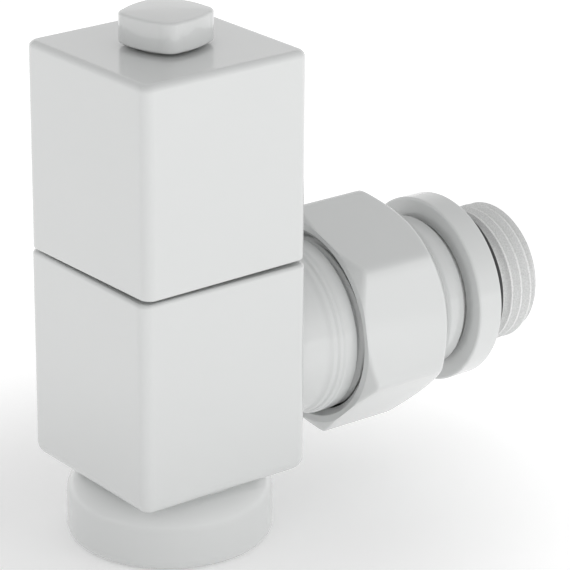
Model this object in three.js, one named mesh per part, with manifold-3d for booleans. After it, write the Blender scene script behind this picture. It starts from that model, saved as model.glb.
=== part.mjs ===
// Square angle lockshield valve for a radiator: a square body with a round inlet collar below and a
// union outlet to the side, a lifting square cover held by a small captive knob, and the regulating
// headwork that the cover hides. Millimetres. +Z runs up the inlet and spindle axis, +X out along
// the outlet axis, and the origin is the centre of the inlet mouth.
import * as THREE from "three";
import { mergeVertices } from "three/addons/utils/BufferGeometryUtils.js";
import Module from "manifold-3d";

const wasm = await Module();
wasm.setup();

// ---- General values ----
const GAP = 0.3; // clearance between pieces that touch or nest
const WIDE_GAP = 0.45; // clearance round the bonnet that a cover drops over
const OVERRUN = 1; // how far a cutting tool runs past the face it cuts
const FACETS = 32; // facets round a turned surface
const SMALL_FACETS = 20; // facets round a small turned surface
const RING_FACETS = 10; // facets round the section of a seal ring
const ARC_STEPS = 4; // steps in a quarter-circle edge rounding
const CORNER_STEPS = 5; // steps in an upright corner of a square piece
const SIDE_STEPS = 6; // steps along a crowned side

// ---- Square body ----
const chamberRadius = 8;
const bodyWall = 6.1; // from the chamber to the middle of a side
const blockHeight = 31.6;
const blockCornerRadius = 1.6;
const blockFootRadius = 2;
const blockTopRadius = 0.5;
const collarWall = 4.42; // outside the inlet thread
const collarHeight = 10.5;
const collarShoulderRadius = 4.4;
const collarNeckWall = 1.72; // outside the inlet thread, under the block
const collarEdgeRadius = 1.6;
const outletHeight = 26.3; // outlet axis above the inlet mouth

// ---- Inlet socket and seat ----
const inletMajorRadius = 10.48; // G 1/2 thread
const inletThreadDepth = 1.18;
const inletThreadPitch = 1.814;
const inletThreadTurns = 6;
const inletSocketDepth = 13.4;
const waterwayRadius = 7.6;
const seatDrop = 0.4; // seat below the foot of the outlet bore
const seatThickness = 2.6;
const seatBoreRadius = 5;
const seatLipWidth = 1.2;
const seatLipHeight = 0.6;
const outletBoreRadius = 6;

// ---- Outlet spigot with its G 3/4 union thread ----
const spigotRoot = 7; // where the boss starts, inside the block
const spigotReach = 9.8; // rim's end beyond the side of the block
const spigotBossStep = 0.9; // boss below the rim
const spigotRimRadius = 13.2;
const spigotRimLength = 2.7;
const spigotRidgeLength = 1.1;
const unionThreadRelief = 0.1; // thread crests below the rim
const unionThreadDepth = 1;
const unionThreadPitch = 1.814;
const unionThreadTurns = 4;
const unionThreadRunout = 1.25; // plain neck between the rim and the first thread
const spigotMouthRadius = 8;
const spigotMouthDepth = 3.2;

// ---- Union nut ----
const nutLength = 21.2;
const nutWall = 1.65; // from the bore to the middle of a flat
const nutTurnDegrees = 18.4; // a corner's angle above the level cross axis
const nutHexLength = 12.8;
const nutCornerRelief = 1.2; // how far past the flats the left chamfer starts
const nutCollarWall = 0.72;
const nutCollarLength = 3.4;
const nutMouthChamfer = 0.9;

// ---- Radiator tail ----
const tailThreadRadius = 10.4775; // G 1/2 thread
const tailThreadDepth = 1.162;
const tailThreadPitch = 1.814;
const tailThreadLength = 8.1;
const tailFlangeThickness = 2.2; // flange that the nut's inner shoulder pulls on
const tailBoreRadius = 7.4;
const tailKeyAcrossFlats = 12;
const tailKeyLength = 11.5;
const unionSealThickness = 2;
const ringStandOff = 0.8; // from the nut's end to the tail ring
const tailRingRadius = 14.1;
const tailRingWidth = 4.3;
const tailRingEdgeRadius = 0.4;
const tailSealSection = 2.5; // thickness of the black ring behind the tail ring

// ---- Headwork ----
const bonnetFootRise = 0.5; // bonnet above the outlet bore
const bonnetGuideAcrossFlats = 11;
const bonnetGuideRise = 1.5; // guide above the body's top
const bonnetFlangeOverlap = 0.2; // round flange beyond the seal's recess
const bonnetFlangeHeight = 1.6;
const bonnetHexInset = 1.4; // hexagon's flats inside the flange
const bonnetHexHeight = 3.8; // above the round flange
const bonnetNeckRadius = 7.6;
const bonnetNeckHeight = 9;
const bonnetSealSection = 1.4;
const thrustCollarRadius = 4.6;
const thrustCollarHeight = 1.8;
const packingRadius = 5.7;
const packingHeight = 2;
const glandThreadDepth = 2;
const glandAcrossFlats = 13;
const glandHexHeight = 3.4;
const spindleRadius = 3.5;
const spindleThreadRadius = 3;
const spindleEngagement = 5.9; // spindle thread inside the shut plug
const spindleKeyAcrossFlats = 6.4;
const spindleKeyHeight = 5;
const stemSealSection = 1.4;
const circlipThickness = 0.8;
const circlipWidth = 2;
const circlipOpeningDegrees = 60;

// ---- Plug that closes the seat ----
const plugLift = 3.75; // travel from shut to fully open
const plugAcrossFlats = 10.4;
const plugGuideEngagement = 2.4; // stem inside the bonnet's guide when shut
const plugHeadClearance = 0.8; // round the plug's head, in the chamber
const plugHeadHeight = 3.4;
const plugCupWall = 0.7; // outside the plug's disc
const plugSealThickness = 2;
const plugScrewHeadRadius = 2.8;
const plugScrewHeadHeight = 1.1;
const plugScrewRadius = 1.2;
const plugScrewLength = 3.8;

// ---- Square cover, its insert and its captive knob ----
const coverInset = 0.3; // cover narrower than the block
const coverWall = 1.8;
const coverHeadroom = 3.35; // cover's ceiling above the spindle
const coverTopThickness = 2.8;
const coverCornerRadius = 1.6;
const coverTopRadius = 1;
const coverFootRadius = 0.35;
const coverSeam = 0.45; // shadow gap between the body and the cover
const coverTurnDegrees = 1.5; // the cover sits very slightly turned on the body
const insertHeight = 5.5;
const insertCornerRadius = 1.2;
const knobSide = 10.6;
const knobHeight = 4.4;
const knobCrown = 0.25;
const knobBulge = 0.4;
const knobCornerRadius = 2.3;
const knobEdgeRadius = 0.4;
const knobTurnDegrees = 14.5; // knob against the cover
const knobSeam = 0.45;
const studRadius = 1.75;
const studTurns = 6;
const studThreadPitch = 0.7;
const studThreadDepth = 0.3;
const washerRadius = 4.1;
const washerThickness = 0.7;

// ---- Places along the upright axis ----
const collarRadius = inletMajorRadius + collarWall;
const blockSide = 2 * (chamberRadius + bodyWall);
const bodyTop = collarHeight + blockHeight;
const seatHeight = outletHeight - outletBoreRadius - seatDrop;
const chamberFloor = seatHeight - seatLipHeight;
const bonnetFoot = outletHeight + outletBoreRadius + bonnetFootRise;
const bonnetFlange = bodyTop + GAP;
const bonnetFlangeTop = bonnetFlange + bonnetFlangeHeight;
const bonnetHexTop = bonnetFlangeTop + bonnetHexHeight;
const bonnetTop = bonnetHexTop + bonnetNeckHeight;
const sealRecessRadius = chamberRadius + bonnetSealSection + GAP;
const bonnetFlangeRadius = sealRecessRadius + bonnetFlangeOverlap;
const bonnetHexAcrossFlats = 2 * (bonnetFlangeRadius - bonnetHexInset);
const guideTop = bodyTop + bonnetGuideRise;
const thrustTop = guideTop + GAP + thrustCollarHeight;
const packingFoot = bonnetTop - glandThreadDepth - packingHeight - 2 * GAP;
const glandFlange = bonnetTop + GAP;
const glandTop = glandFlange + glandHexHeight;
const circlipFoot = glandTop + GAP;
const plugHeadRadius = chamberRadius - plugHeadClearance;
const plugSealRadius = plugHeadRadius - plugCupWall;
const plugFoot = seatHeight + GAP;
const plugStemFoot = plugFoot + plugHeadHeight;
const plugStemTop = bonnetFoot + plugGuideEngagement;
const spindleBoreRadius = spindleRadius + GAP;
const spindleFoot = plugStemTop - spindleEngagement;
const spindleKeyFoot = circlipFoot + circlipThickness + GAP;
const spindleTop = spindleKeyFoot + spindleKeyHeight;
const coverSide = blockSide - coverInset;
const coverFoot = bodyTop + coverSeam;
const coverCeiling = spindleTop + coverHeadroom;
const coverTop = coverCeiling + coverTopThickness;
const knobFoot = coverTop + knobSeam;
const studHoleRadius = studRadius + GAP;
const studHoleFoot = spindleTop - studTurns * studThreadPitch - 2 * GAP;
const washerFoot = coverTop - washerThickness + GAP / 2;

// ---- Places along the outlet axis, from the upright axis ----
const spigotRimEnd = blockSide / 2 + spigotReach;
const unionThreadRadius = spigotRimRadius - unionThreadRelief;
const unionThreadStart = spigotRimEnd + unionThreadRunout;
const spigotEnd = unionThreadStart + unionThreadTurns * unionThreadPitch;
const unionFaceRadius = unionThreadRadius - unionThreadDepth - GAP;
const unionSealStart = spigotEnd + GAP;
const tailStart = unionSealStart + unionSealThickness + GAP;
const nutStart = spigotRimEnd + GAP;
const nutEnd = nutStart + nutLength;
const nutBoreRadius = spigotRimRadius + GAP / 2;
const nutAcrossFlats = 2 * (nutBoreRadius + nutWall);
const nutShoulder = tailStart + tailFlangeThickness + GAP;
const nutTailBoreRadius = tailThreadRadius + GAP; // the nut is slid on over the tail's thread
const nutCollarRadius = nutTailBoreRadius + nutCollarWall;
const tailRingStart = nutEnd + ringStandOff;
const tailSealStart = tailRingStart + tailRingWidth + GAP / 2;
const tailThreadStart = tailSealStart + tailSealSection + GAP / 2;
const tailEnd = tailThreadStart + tailThreadLength;

// ---- Shape helpers ----
const radians = THREE.MathUtils.degToRad;
const QUARTER_TURN = Math.PI / 2;

/** Turns a closed geometry into a solid: shared vertices merged, collapsed triangles dropped. */
function toSolid(geometry) {
  const bare = geometry.index ? geometry.toNonIndexed() : geometry.clone();
  bare.deleteAttribute("normal");
  bare.deleteAttribute("uv");
  const merged = mergeVertices(bare, 1e-4);
  const corners = merged.index.array;
  const kept = [];
  for (let i = 0; i < corners.length; i += 3) {
    const [a, b, c] = [corners[i], corners[i + 1], corners[i + 2]];
    if (a !== b && b !== c && c !== a) kept.push(a, b, c);
  }
  const vertProperties = merged.attributes.position.array;
  const triVerts = new Uint32Array(kept);
  return new wasm.Manifold(new wasm.Mesh({ numProp: 3, vertProperties, triVerts }));
}

/** Turns a solid back into a geometry. */
function toGeometry(solid) {
  const mesh = solid.getMesh();
  const stride = mesh.numProp;
  const positions = new Float32Array(mesh.numVert * 3);
  for (let i = 0; i < mesh.numVert; i++) {
    positions.set(mesh.vertProperties.subarray(i * stride, i * stride + 3), i * 3);
  }
  const geometry = new THREE.BufferGeometry();
  geometry.setAttribute("position", new THREE.BufferAttribute(positions, 3));
  geometry.setIndex(new THREE.BufferAttribute(mesh.triVerts, 1));
  geometry.computeVertexNormals();
  return geometry;
}

/** Points on an arc from one angle to another, in degrees. */
function arc(centreX, centreY, radius, fromDegrees, toDegrees, steps = ARC_STEPS) {
  return Array.from({ length: steps + 1 }, (_, i) => {
    const angle = radians(fromDegrees + ((toDegrees - fromDegrees) * i) / steps);
    return [centreX + radius * Math.cos(angle), centreY + radius * Math.sin(angle)];
  });
}

/** Solid of revolution about Z from [radius, height] points: a ring, or a full body on the axis. */
function turned(profile, facets = FACETS) {
  const points = profile.map(([radius, height]) => new THREE.Vector2(radius, height));
  const last = points[points.length - 1];
  const onAxis = points[0].x === 0 && last.x === 0;
  if (THREE.ShapeUtils.area(points) < 0) points.reverse();
  if (!onAxis) points.push(points[0].clone());
  return toSolid(new THREE.LatheGeometry(points, facets).rotateX(QUARTER_TURN));
}

/** Plain disc or cylinder about Z. */
function rod(radius, from, to, facets = FACETS) {
  return turned([[0, from], [radius, from], [radius, to], [0, to]], facets);
}

/** Plain tube about Z. */
function tube(inner, outer, from, to, facets = FACETS) {
  return turned([[inner, from], [outer, from], [outer, to], [inner, to]], facets);
}

/** Ring of round section about Z. */
function roundRing(innerRadius, section, from, facets = FACETS) {
  const half = section / 2;
  const centre = arc(innerRadius + half, from + half, half, 0, 360, RING_FACETS).slice(0, -1);
  return turned(centre, facets);
}

/** Hexagonal prism about Z, a corner at the given angle from X. */
function hexBar(acrossFlats, from, to, cornerDegrees = 0) {
  const radius = acrossFlats / Math.sqrt(3);
  const corners = Array.from({ length: 6 }, (_, i) => {
    const angle = radians(cornerDegrees + 60 * i);
    return new THREE.Vector2(radius * Math.cos(angle), radius * Math.sin(angle));
  });
  const settings = { depth: to - from, bevelEnabled: false };
  return toSolid(new THREE.ExtrudeGeometry(new THREE.Shape(corners), settings).translate(0, 0, from));
}

/** Corner-rounded square outline whose sides may be crowned outwards; always the same point count. */
function squareOutline(half, corner, bulge = 0) {
  const points = [];
  const sideSteps = bulge > 0 ? SIDE_STEPS : 1;
  for (let quarter = 0; quarter < 4; quarter++) {
    const middle = quarter * QUARTER_TURN;
    const along = new THREE.Vector2(-Math.sin(middle), Math.cos(middle));
    const out = new THREE.Vector2(Math.cos(middle), Math.sin(middle));
    const straight = half - corner;
    for (let step = 0; step < sideSteps; step++) {
      const share = (2 * step) / sideSteps - 1;
      const reach = half + bulge * (1 - share * share);
      points.push(out.clone().multiplyScalar(reach).addScaledVector(along, straight * share));
    }
    const centre = out.clone().multiplyScalar(straight).addScaledVector(along, straight);
    for (let step = 0; step < CORNER_STEPS; step++) {
      const angle = middle + (QUARTER_TURN * step) / CORNER_STEPS;
      const spoke = new THREE.Vector2(Math.cos(angle), Math.sin(angle));
      points.push(centre.clone().addScaledVector(spoke, corner));
    }
  }
  return points;
}

/** Closed skin through a stack of equal-count outlines, lowest first, with a fan over each end. */
function loft(sections) {
  const count = sections[0].outline.length;
  const positions = sections.flatMap(({ z, outline }) => outline.flatMap((p) => [p.x, p.y, z]));
  const faces = [];
  for (let level = 0; level + 1 < sections.length; level++) {
    for (let i = 0; i < count; i++) {
      const [a, b] = [level * count + i, level * count + ((i + 1) % count)];
      faces.push(a, b, b + count, a, b + count, a + count);
    }
  }
  const [floor, roof] = [positions.length / 3, positions.length / 3 + 1];
  const top = (sections.length - 1) * count;
  positions.push(0, 0, sections[0].z, 0, 0, sections[sections.length - 1].z);
  for (let i = 0; i < count; i++) {
    const next = (i + 1) % count;
    faces.push(floor, next, i, roof, top + i, top + next);
  }
  const geometry = new THREE.BufferGeometry();
  geometry.setAttribute("position", new THREE.Float32BufferAttribute(positions, 3));
  geometry.setIndex(faces);
  return toSolid(geometry);
}

/** Square pillar about Z with rounded upright corners and rounded foot and top edges. */
function squarePillar({ side, corner, from, to, foot, top, bulge = 0, crown = 0 }) {
  const level = (z, inset) => ({ z, outline: squareOutline(side / 2 - inset, corner, bulge) });
  const sections = [];
  for (let step = 0; step <= ARC_STEPS; step++) {
    const angle = (QUARTER_TURN * step) / ARC_STEPS;
    sections.push(level(from + foot * (1 - Math.cos(angle)), foot * (1 - Math.sin(angle))));
  }
  for (let step = 0; step <= ARC_STEPS; step++) {
    const angle = (QUARTER_TURN * step) / ARC_STEPS;
    sections.push(level(to - top * (1 - Math.sin(angle)), top * (1 - Math.cos(angle))));
  }
  if (crown > 0) {
    const reach = side / 2 - top;
    for (const share of [0.75, 0.5, 0.25]) {
      const z = to + crown * (1 - share * share);
      sections.push({ z, outline: squareOutline(reach * share, corner * share, bulge * share) });
    }
  }
  return loft(sections);
}

/** Saw-tooth profile points of a thread, as rings one pitch apart, from one height to another. */
function threadProfile(crest, depth, pitch, from, turns, crestShare = 0.15) {
  const flat = pitch * crestShare;
  const points = [];
  for (let turn = 0; turn < turns; turn++) {
    const start = from + turn * pitch;
    points.push([crest - depth, start]);
    points.push([crest, start + pitch / 2 - flat]);
    points.push([crest, start + pitch / 2 + flat]);
  }
  points.push([crest - depth, from + turns * pitch]);
  return points;
}

/** Moves a solid made about Z so that its axis becomes the outlet axis. */
function alongOutlet(solid) {
  const geometry = toGeometry(solid).rotateY(QUARTER_TURN).translate(0, 0, outletHeight);
  return toSolid(geometry);
}

/** Cuts a radial opening, a wedge about the given direction, out of a ring. */
function splitRing(ring, reach, from, to, openingDegrees) {
  const half = radians(openingDegrees / 2);
  const wedge = new THREE.Shape([
    new THREE.Vector2(0, 0),
    new THREE.Vector2(reach * 2 * Math.cos(half), -reach * 2 * Math.sin(half)),
    new THREE.Vector2(reach * 2 * Math.cos(half), reach * 2 * Math.sin(half)),
  ]);
  const depth = to - from + 2 * OVERRUN;
  const cutter = new THREE.ExtrudeGeometry(wedge, { depth, bevelEnabled: false });
  return ring.subtract(toSolid(cutter.translate(0, 0, from - OVERRUN)));
}

// ---- Square body ----

/** Round inlet collar with its rounded shoulder and edge, running up inside the block. */
function collar() {
  const shoulderFoot = collarHeight - collarShoulderRadius;
  const shoulderRoot = collarRadius - collarShoulderRadius;
  const neckRadius = inletMajorRadius + collarNeckWall;
  const neckAngle = THREE.MathUtils.radToDeg(Math.acos((neckRadius - shoulderRoot) / collarShoulderRadius));
  return turned([
    [0, 0],
    ...arc(collarRadius - collarEdgeRadius, collarEdgeRadius, collarEdgeRadius, -90, 0),
    ...arc(shoulderRoot, shoulderFoot, collarShoulderRadius, 0, neckAngle),
    [neckRadius, collarHeight + blockFootRadius],
    [0, collarHeight + blockFootRadius],
  ]);
}

/** Side spigot: boss, two shallow ridges, rim, and the union thread up to the end face. */
function spigot() {
  const rimStart = spigotRimEnd - spigotRimLength;
  const ridgeStart = rimStart - spigotRidgeLength;
  const bossEnd = ridgeStart - spigotRidgeLength;
  const spigotRadius = spigotRimRadius - spigotBossStep;
  const rise = spigotBossStep / 3;
  const threadFoot = unionThreadRadius - unionThreadDepth;
  return turned([
    [0, spigotRoot],
    [spigotRadius, spigotRoot],
    [spigotRadius, bossEnd],
    [spigotRadius + rise, bossEnd + GAP],
    [spigotRadius + rise, ridgeStart],
    [spigotRadius + 2 * rise, ridgeStart + GAP],
    [spigotRadius + 2 * rise, rimStart],
    [spigotRimRadius, rimStart + GAP],
    [spigotRimRadius, spigotRimEnd],
    [threadFoot, spigotRimEnd],
    ...threadProfile(
      unionThreadRadius, unionThreadDepth, unionThreadPitch, unionThreadStart, unionThreadTurns),
    [0, spigotEnd],
  ]);
}

/** Upright bore: threaded inlet socket, waterway, seat, chamber and the bonnet's recess. */
function uprightBore() {
  const minorRadius = inletMajorRadius - inletThreadDepth;
  const grooves = threadProfile(
    inletMajorRadius, inletThreadDepth, inletThreadPitch, inletThreadDepth, inletThreadTurns);
  const socket = turned([
    [0, -OVERRUN],
    [inletMajorRadius, -OVERRUN],
    [inletMajorRadius, 0],
    ...grooves,
    [minorRadius, inletSocketDepth],
    [waterwayRadius, inletSocketDepth],
    [waterwayRadius, seatHeight - seatThickness],
    [seatBoreRadius, seatHeight - seatThickness],
    [seatBoreRadius, seatHeight],
    [seatBoreRadius + seatLipWidth, seatHeight],
    [seatBoreRadius + seatLipWidth, chamberFloor],
    [chamberRadius, chamberFloor],
    [chamberRadius, bodyTop + OVERRUN],
    [0, bodyTop + OVERRUN],
  ]);
  return socket.add(rod(sealRecessRadius, bodyTop - bonnetSealSection, bodyTop + OVERRUN));
}

/** Sideways bore: outlet waterway and the wider mouth at the spigot's end. */
function sidewaysBore() {
  return turned([
    [0, 0],
    [outletBoreRadius, 0],
    [outletBoreRadius, spigotEnd - spigotMouthDepth],
    [spigotMouthRadius, spigotEnd - spigotMouthDepth + GAP],
    [spigotMouthRadius, spigotEnd + OVERRUN],
    [0, spigotEnd + OVERRUN],
  ]);
}

function valveBody() {
  const block = squarePillar({
    side: blockSide,
    corner: blockCornerRadius,
    from: collarHeight,
    to: bodyTop,
    foot: blockFootRadius,
    top: blockTopRadius,
  });
  return block
    .add(collar())
    .add(alongOutlet(spigot()))
    .subtract(uprightBore())
    .subtract(alongOutlet(sidewaysBore()));
}

// ---- Headwork ----

/** Headwork bonnet: skirt that guides the plug, flange, hexagon, and neck that holds the gland. */
function bonnet() {
  const outside = turned([
    [0, bonnetFoot],
    [chamberRadius - GAP, bonnetFoot],
    [chamberRadius - GAP, bonnetFlange],
    [bonnetFlangeRadius, bonnetFlange],
    [bonnetFlangeRadius, bonnetFlangeTop],
    [bonnetNeckRadius, bonnetFlangeTop],
    ...arc(bonnetNeckRadius - GAP, bonnetTop - GAP, GAP, 0, 90, 2),
    [0, bonnetTop],
  ]);
  const hexagon = hexBar(bonnetHexAcrossFlats, bonnetFlangeTop - GAP, bonnetHexTop);
  const guide = hexBar(bonnetGuideAcrossFlats, bonnetFoot - OVERRUN, guideTop);
  const bores = turned([
    [0, bonnetFoot - OVERRUN],
    [thrustCollarRadius + GAP, bonnetFoot - OVERRUN],
    [thrustCollarRadius + GAP, thrustTop + GAP],
    [spindleBoreRadius, thrustTop + GAP],
    [spindleBoreRadius, packingFoot],
    [packingRadius + GAP, packingFoot],
    [packingRadius + GAP, bonnetTop + OVERRUN],
    [0, bonnetTop + OVERRUN],
  ]);
  return outside.add(hexagon).subtract(guide).subtract(bores);
}

function bonnetSeal() {
  return roundRing(chamberRadius, bonnetSealSection - GAP, bodyTop - bonnetSealSection + GAP / 2);
}

/** Heights of the foot of each stem seal on the spindle. */
function stemSealHeights() {
  const foot = thrustTop + 2 * GAP;
  const step = stemSealSection + 2 * GAP;
  return [foot, foot + step];
}

function spindle() {
  const sealRoot = spindleRadius - stemSealSection + GAP;
  const grooves = stemSealHeights().flatMap((foot) => [
    [spindleRadius, foot - GAP / 2],
    [sealRoot, foot - GAP / 2],
    [sealRoot, foot + stemSealSection + GAP / 2],
    [spindleRadius, foot + stemSealSection + GAP / 2],
  ]);
  const clipRoot = spindleRadius - GAP * 2;
  const keyNeck = spindleKeyAcrossFlats / 2 - GAP;
  const turnedPart = turned([
    [0, spindleFoot],
    [spindleThreadRadius - GAP, spindleFoot],
    [spindleThreadRadius, spindleFoot + GAP],
    [spindleThreadRadius, guideTop + GAP],
    [thrustCollarRadius, guideTop + GAP],
    [thrustCollarRadius, thrustTop],
    [spindleRadius, thrustTop],
    ...grooves,
    [spindleRadius, circlipFoot - GAP / 2],
    [clipRoot, circlipFoot - GAP / 2],
    [clipRoot, circlipFoot + circlipThickness + GAP / 2],
    [spindleRadius, circlipFoot + circlipThickness + GAP / 2],
    [spindleRadius, spindleKeyFoot],
    [keyNeck, spindleKeyFoot],
    [keyNeck, spindleTop],
    [0, spindleTop],
  ], SMALL_FACETS);
  const key = hexBar(spindleKeyAcrossFlats, spindleKeyFoot - GAP / 2, spindleTop);
  const hole = rod(studHoleRadius, studHoleFoot, spindleTop + OVERRUN, SMALL_FACETS);
  return turnedPart.add(key).subtract(hole);
}

function stemSeal(foot) {
  const inner = spindleRadius - stemSealSection + GAP + GAP / 2;
  return roundRing(inner, stemSealSection - GAP, foot + GAP / 2, SMALL_FACETS);
}

function glandPacking() {
  const foot = packingFoot + GAP;
  return tube(spindleBoreRadius, packingRadius, foot, foot + packingHeight, SMALL_FACETS);
}

function glandNut() {
  const sleeveFoot = bonnetTop - glandThreadDepth;
  const sleeve = rod(packingRadius, sleeveFoot, glandFlange + GAP, SMALL_FACETS);
  const cone = turned([
    [0, glandFlange],
    [glandAcrossFlats, glandFlange],
    [glandAcrossFlats / 2 + GAP * 3, glandTop - GAP],
    [glandAcrossFlats / 2, glandTop],
    [0, glandTop],
  ]);
  const hexagon = hexBar(glandAcrossFlats, glandFlange, glandTop).intersect(cone);
  const bore = rod(spindleBoreRadius, sleeveFoot - OVERRUN, glandTop + OVERRUN, SMALL_FACETS);
  return sleeve.add(hexagon).subtract(bore);
}

function circlip() {
  const inner = spindleRadius - GAP;
  const outer = inner + circlipWidth;
  const ring = tube(inner, outer, circlipFoot, circlipFoot + circlipThickness, SMALL_FACETS);
  return splitRing(ring, outer, circlipFoot, circlipFoot + circlipThickness, circlipOpeningDegrees);
}

// ---- Plug ----

/** Plug carrier: cup for the seal below, hexagonal stem above, threaded for the spindle. */
function plugCarrier() {
  const cup = rod(plugHeadRadius, plugFoot + plugSealThickness / 2, plugStemFoot);
  const stem = hexBar(plugAcrossFlats, plugStemFoot - GAP, plugStemTop);
  const sealRoom = rod(plugSealRadius + GAP, plugFoot - OVERRUN, plugFoot + plugSealThickness + GAP);
  const holeFoot = spindleFoot - plugLift - GAP;
  const threadHole = rod(spindleThreadRadius + GAP, holeFoot, plugStemTop + OVERRUN, SMALL_FACETS);
  const screwHole = rod(plugScrewRadius + GAP, plugFoot, plugFoot + plugScrewLength + GAP, SMALL_FACETS);
  return cup.add(stem).subtract(sealRoom).subtract(threadHole).subtract(screwHole);
}

function plugSeal() {
  return tube(plugScrewRadius + GAP, plugSealRadius, plugFoot, plugFoot + plugSealThickness);
}

function plugScrew() {
  const headFoot = plugFoot - GAP - plugScrewHeadHeight;
  const domed = turned([
    [0, headFoot],
    ...arc(plugScrewHeadRadius - GAP * 2, headFoot + GAP * 2, GAP * 2, -90, 0, 3),
    [plugScrewHeadRadius, plugFoot - GAP],
    [plugScrewRadius, plugFoot - GAP],
    [plugScrewRadius, plugFoot + plugScrewLength],
    [0, plugFoot + plugScrewLength],
  ], SMALL_FACETS);
  const slotWidth = plugScrewRadius / 2;
  const slot = new THREE.BoxGeometry(plugScrewHeadRadius * 3, slotWidth, plugScrewHeadHeight);
  return domed.subtract(toSolid(slot.translate(0, 0, headFoot)));
}

// ---- Union and radiator tail, made about Z and laid along the outlet by their group ----

function unionNut() {
  const corner = nutAcrossFlats / Math.sqrt(3);
  const coneFoot = nutStart + nutHexLength;
  const coneTop = nutEnd - nutCollarLength;
  const envelope = turned([
    [0, nutStart],
    [nutAcrossFlats / 2 + nutCornerRelief, nutStart],
    [corner + GAP, nutStart + (corner + GAP - nutAcrossFlats / 2 - nutCornerRelief) / 2],
    [corner + GAP, coneFoot],
    [nutCollarRadius, coneTop],
    ...arc(nutCollarRadius - GAP, nutEnd - GAP, GAP, 0, 90, 2),
    [0, nutEnd],
  ]);
  const bar = hexBar(nutAcrossFlats, nutStart, nutEnd, 90 + nutTurnDegrees);
  const mouth = nutBoreRadius + nutMouthChamfer;
  const bore = turned([
    [0, nutStart - OVERRUN],
    [mouth, nutStart - OVERRUN],
    [mouth, nutStart],
    [nutBoreRadius, nutStart + nutMouthChamfer],
    [nutBoreRadius, nutShoulder],
    [nutTailBoreRadius, nutShoulder],
    [nutTailBoreRadius, nutEnd + OVERRUN],
    [0, nutEnd + OVERRUN],
  ]);
  return bar.intersect(envelope).subtract(bore);
}

function unionSeal() {
  return tube(spigotMouthRadius, unionFaceRadius, unionSealStart, unionSealStart + unionSealThickness);
}

/** Radiator tail: flange, barrel, seal groove, thread, and a bore with a key hexagon. */
function tailpiece() {
  const threadRoot = tailThreadRadius - tailThreadDepth;
  const turns = Math.floor(tailThreadLength / tailThreadPitch);
  const outside = turned([
    [0, tailStart],
    [unionFaceRadius, tailStart],
    [unionFaceRadius, tailStart + tailFlangeThickness],
    [tailThreadRadius, tailStart + tailFlangeThickness],
    [tailThreadRadius, tailSealStart - GAP / 2],
    [threadRoot, tailSealStart - GAP / 2],
    ...threadProfile(tailThreadRadius, tailThreadDepth, tailThreadPitch, tailThreadStart, turns),
    [threadRoot, tailEnd],
    [0, tailEnd],
  ]);
  const keyEnd = tailStart + tailKeyLength;
  const bore = turned([
    [0, tailStart - OVERRUN],
    [tailKeyAcrossFlats / 2, tailStart - OVERRUN],
    [tailKeyAcrossFlats / 2, keyEnd],
    [tailBoreRadius, keyEnd + tailBoreRadius - tailKeyAcrossFlats / 2],
    [tailBoreRadius, tailEnd + OVERRUN],
    [0, tailEnd + OVERRUN],
  ]);
  const key = hexBar(tailKeyAcrossFlats, tailStart - OVERRUN, keyEnd);
  return outside.subtract(bore).subtract(key);
}

function tailRing() {
  const end = tailRingStart + tailRingWidth;
  const edge = tailRingEdgeRadius;
  const inner = tailThreadRadius + GAP;
  return turned([
    [inner, tailRingStart],
    ...arc(tailRingRadius - edge, tailRingStart + edge, edge, -90, 0, 4),
    ...arc(tailRingRadius - edge, end - edge, edge, 0, 90, 4),
    [inner, end],
  ]);
}

function tailSeal() {
  const inner = tailThreadRadius - tailThreadDepth + GAP / 2;
  return roundRing(inner, tailSealSection, tailSealStart);
}

// ---- Cover, insert and knob, made square to their own group ----

function headCover() {
  const shell = squarePillar({
    side: coverSide,
    corner: coverCornerRadius,
    from: coverFoot,
    to: coverTop,
    foot: coverFootRadius,
    top: coverTopRadius,
  });
  const hollow = squarePillar({
    side: coverSide - 2 * coverWall,
    corner: coverCornerRadius,
    from: coverFoot - OVERRUN,
    to: coverCeiling,
    foot: GAP,
    top: GAP,
  });
  const washerSeat = rod(washerRadius + GAP, washerFoot - GAP / 2, coverTop + OVERRUN, SMALL_FACETS);
  const studHole = rod(studHoleRadius + GAP, coverCeiling - OVERRUN, coverTop, SMALL_FACETS);
  return shell.subtract(hollow).subtract(washerSeat).subtract(studHole);
}

/** Moulded insert pressed into the cover; its round hole drops over the bonnet's flange and hexagon. */
function coverInsert() {
  const foot = coverFoot + GAP;
  const plate = squarePillar({
    side: coverSide - 2 * (coverWall + GAP),
    corner: insertCornerRadius,
    from: foot,
    to: foot + insertHeight,
    foot: GAP,
    top: GAP,
  });
  const clearance = Math.max(bonnetFlangeRadius, bonnetHexAcrossFlats / Math.sqrt(3)) + WIDE_GAP;
  return plate.subtract(rod(clearance, foot - OVERRUN, foot + insertHeight + OVERRUN));
}

function knobWasher() {
  return tube(studHoleRadius, washerRadius, washerFoot, washerFoot + washerThickness, SMALL_FACETS);
}

function capKnob() {
  const block = squarePillar({
    side: knobSide,
    corner: knobCornerRadius,
    from: knobFoot,
    to: knobFoot + knobHeight,
    foot: knobEdgeRadius,
    top: knobEdgeRadius,
    bulge: knobBulge,
    crown: knobCrown,
  });
  const socketTop = knobFoot + knobHeight / 2 + GAP;
  return block.subtract(rod(studHoleRadius, knobFoot - OVERRUN, socketTop, SMALL_FACETS));
}

function knobStud() {
  const foot = studHoleFoot + GAP;
  return turned([
    [0, foot],
    ...threadProfile(studRadius, studThreadDepth, studThreadPitch, foot, studTurns),
    [studRadius, foot + studTurns * studThreadPitch + GAP],
    [studRadius, knobFoot + knobHeight / 2],
    [0, knobFoot + knobHeight / 2],
  ], SMALL_FACETS);
}

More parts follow.
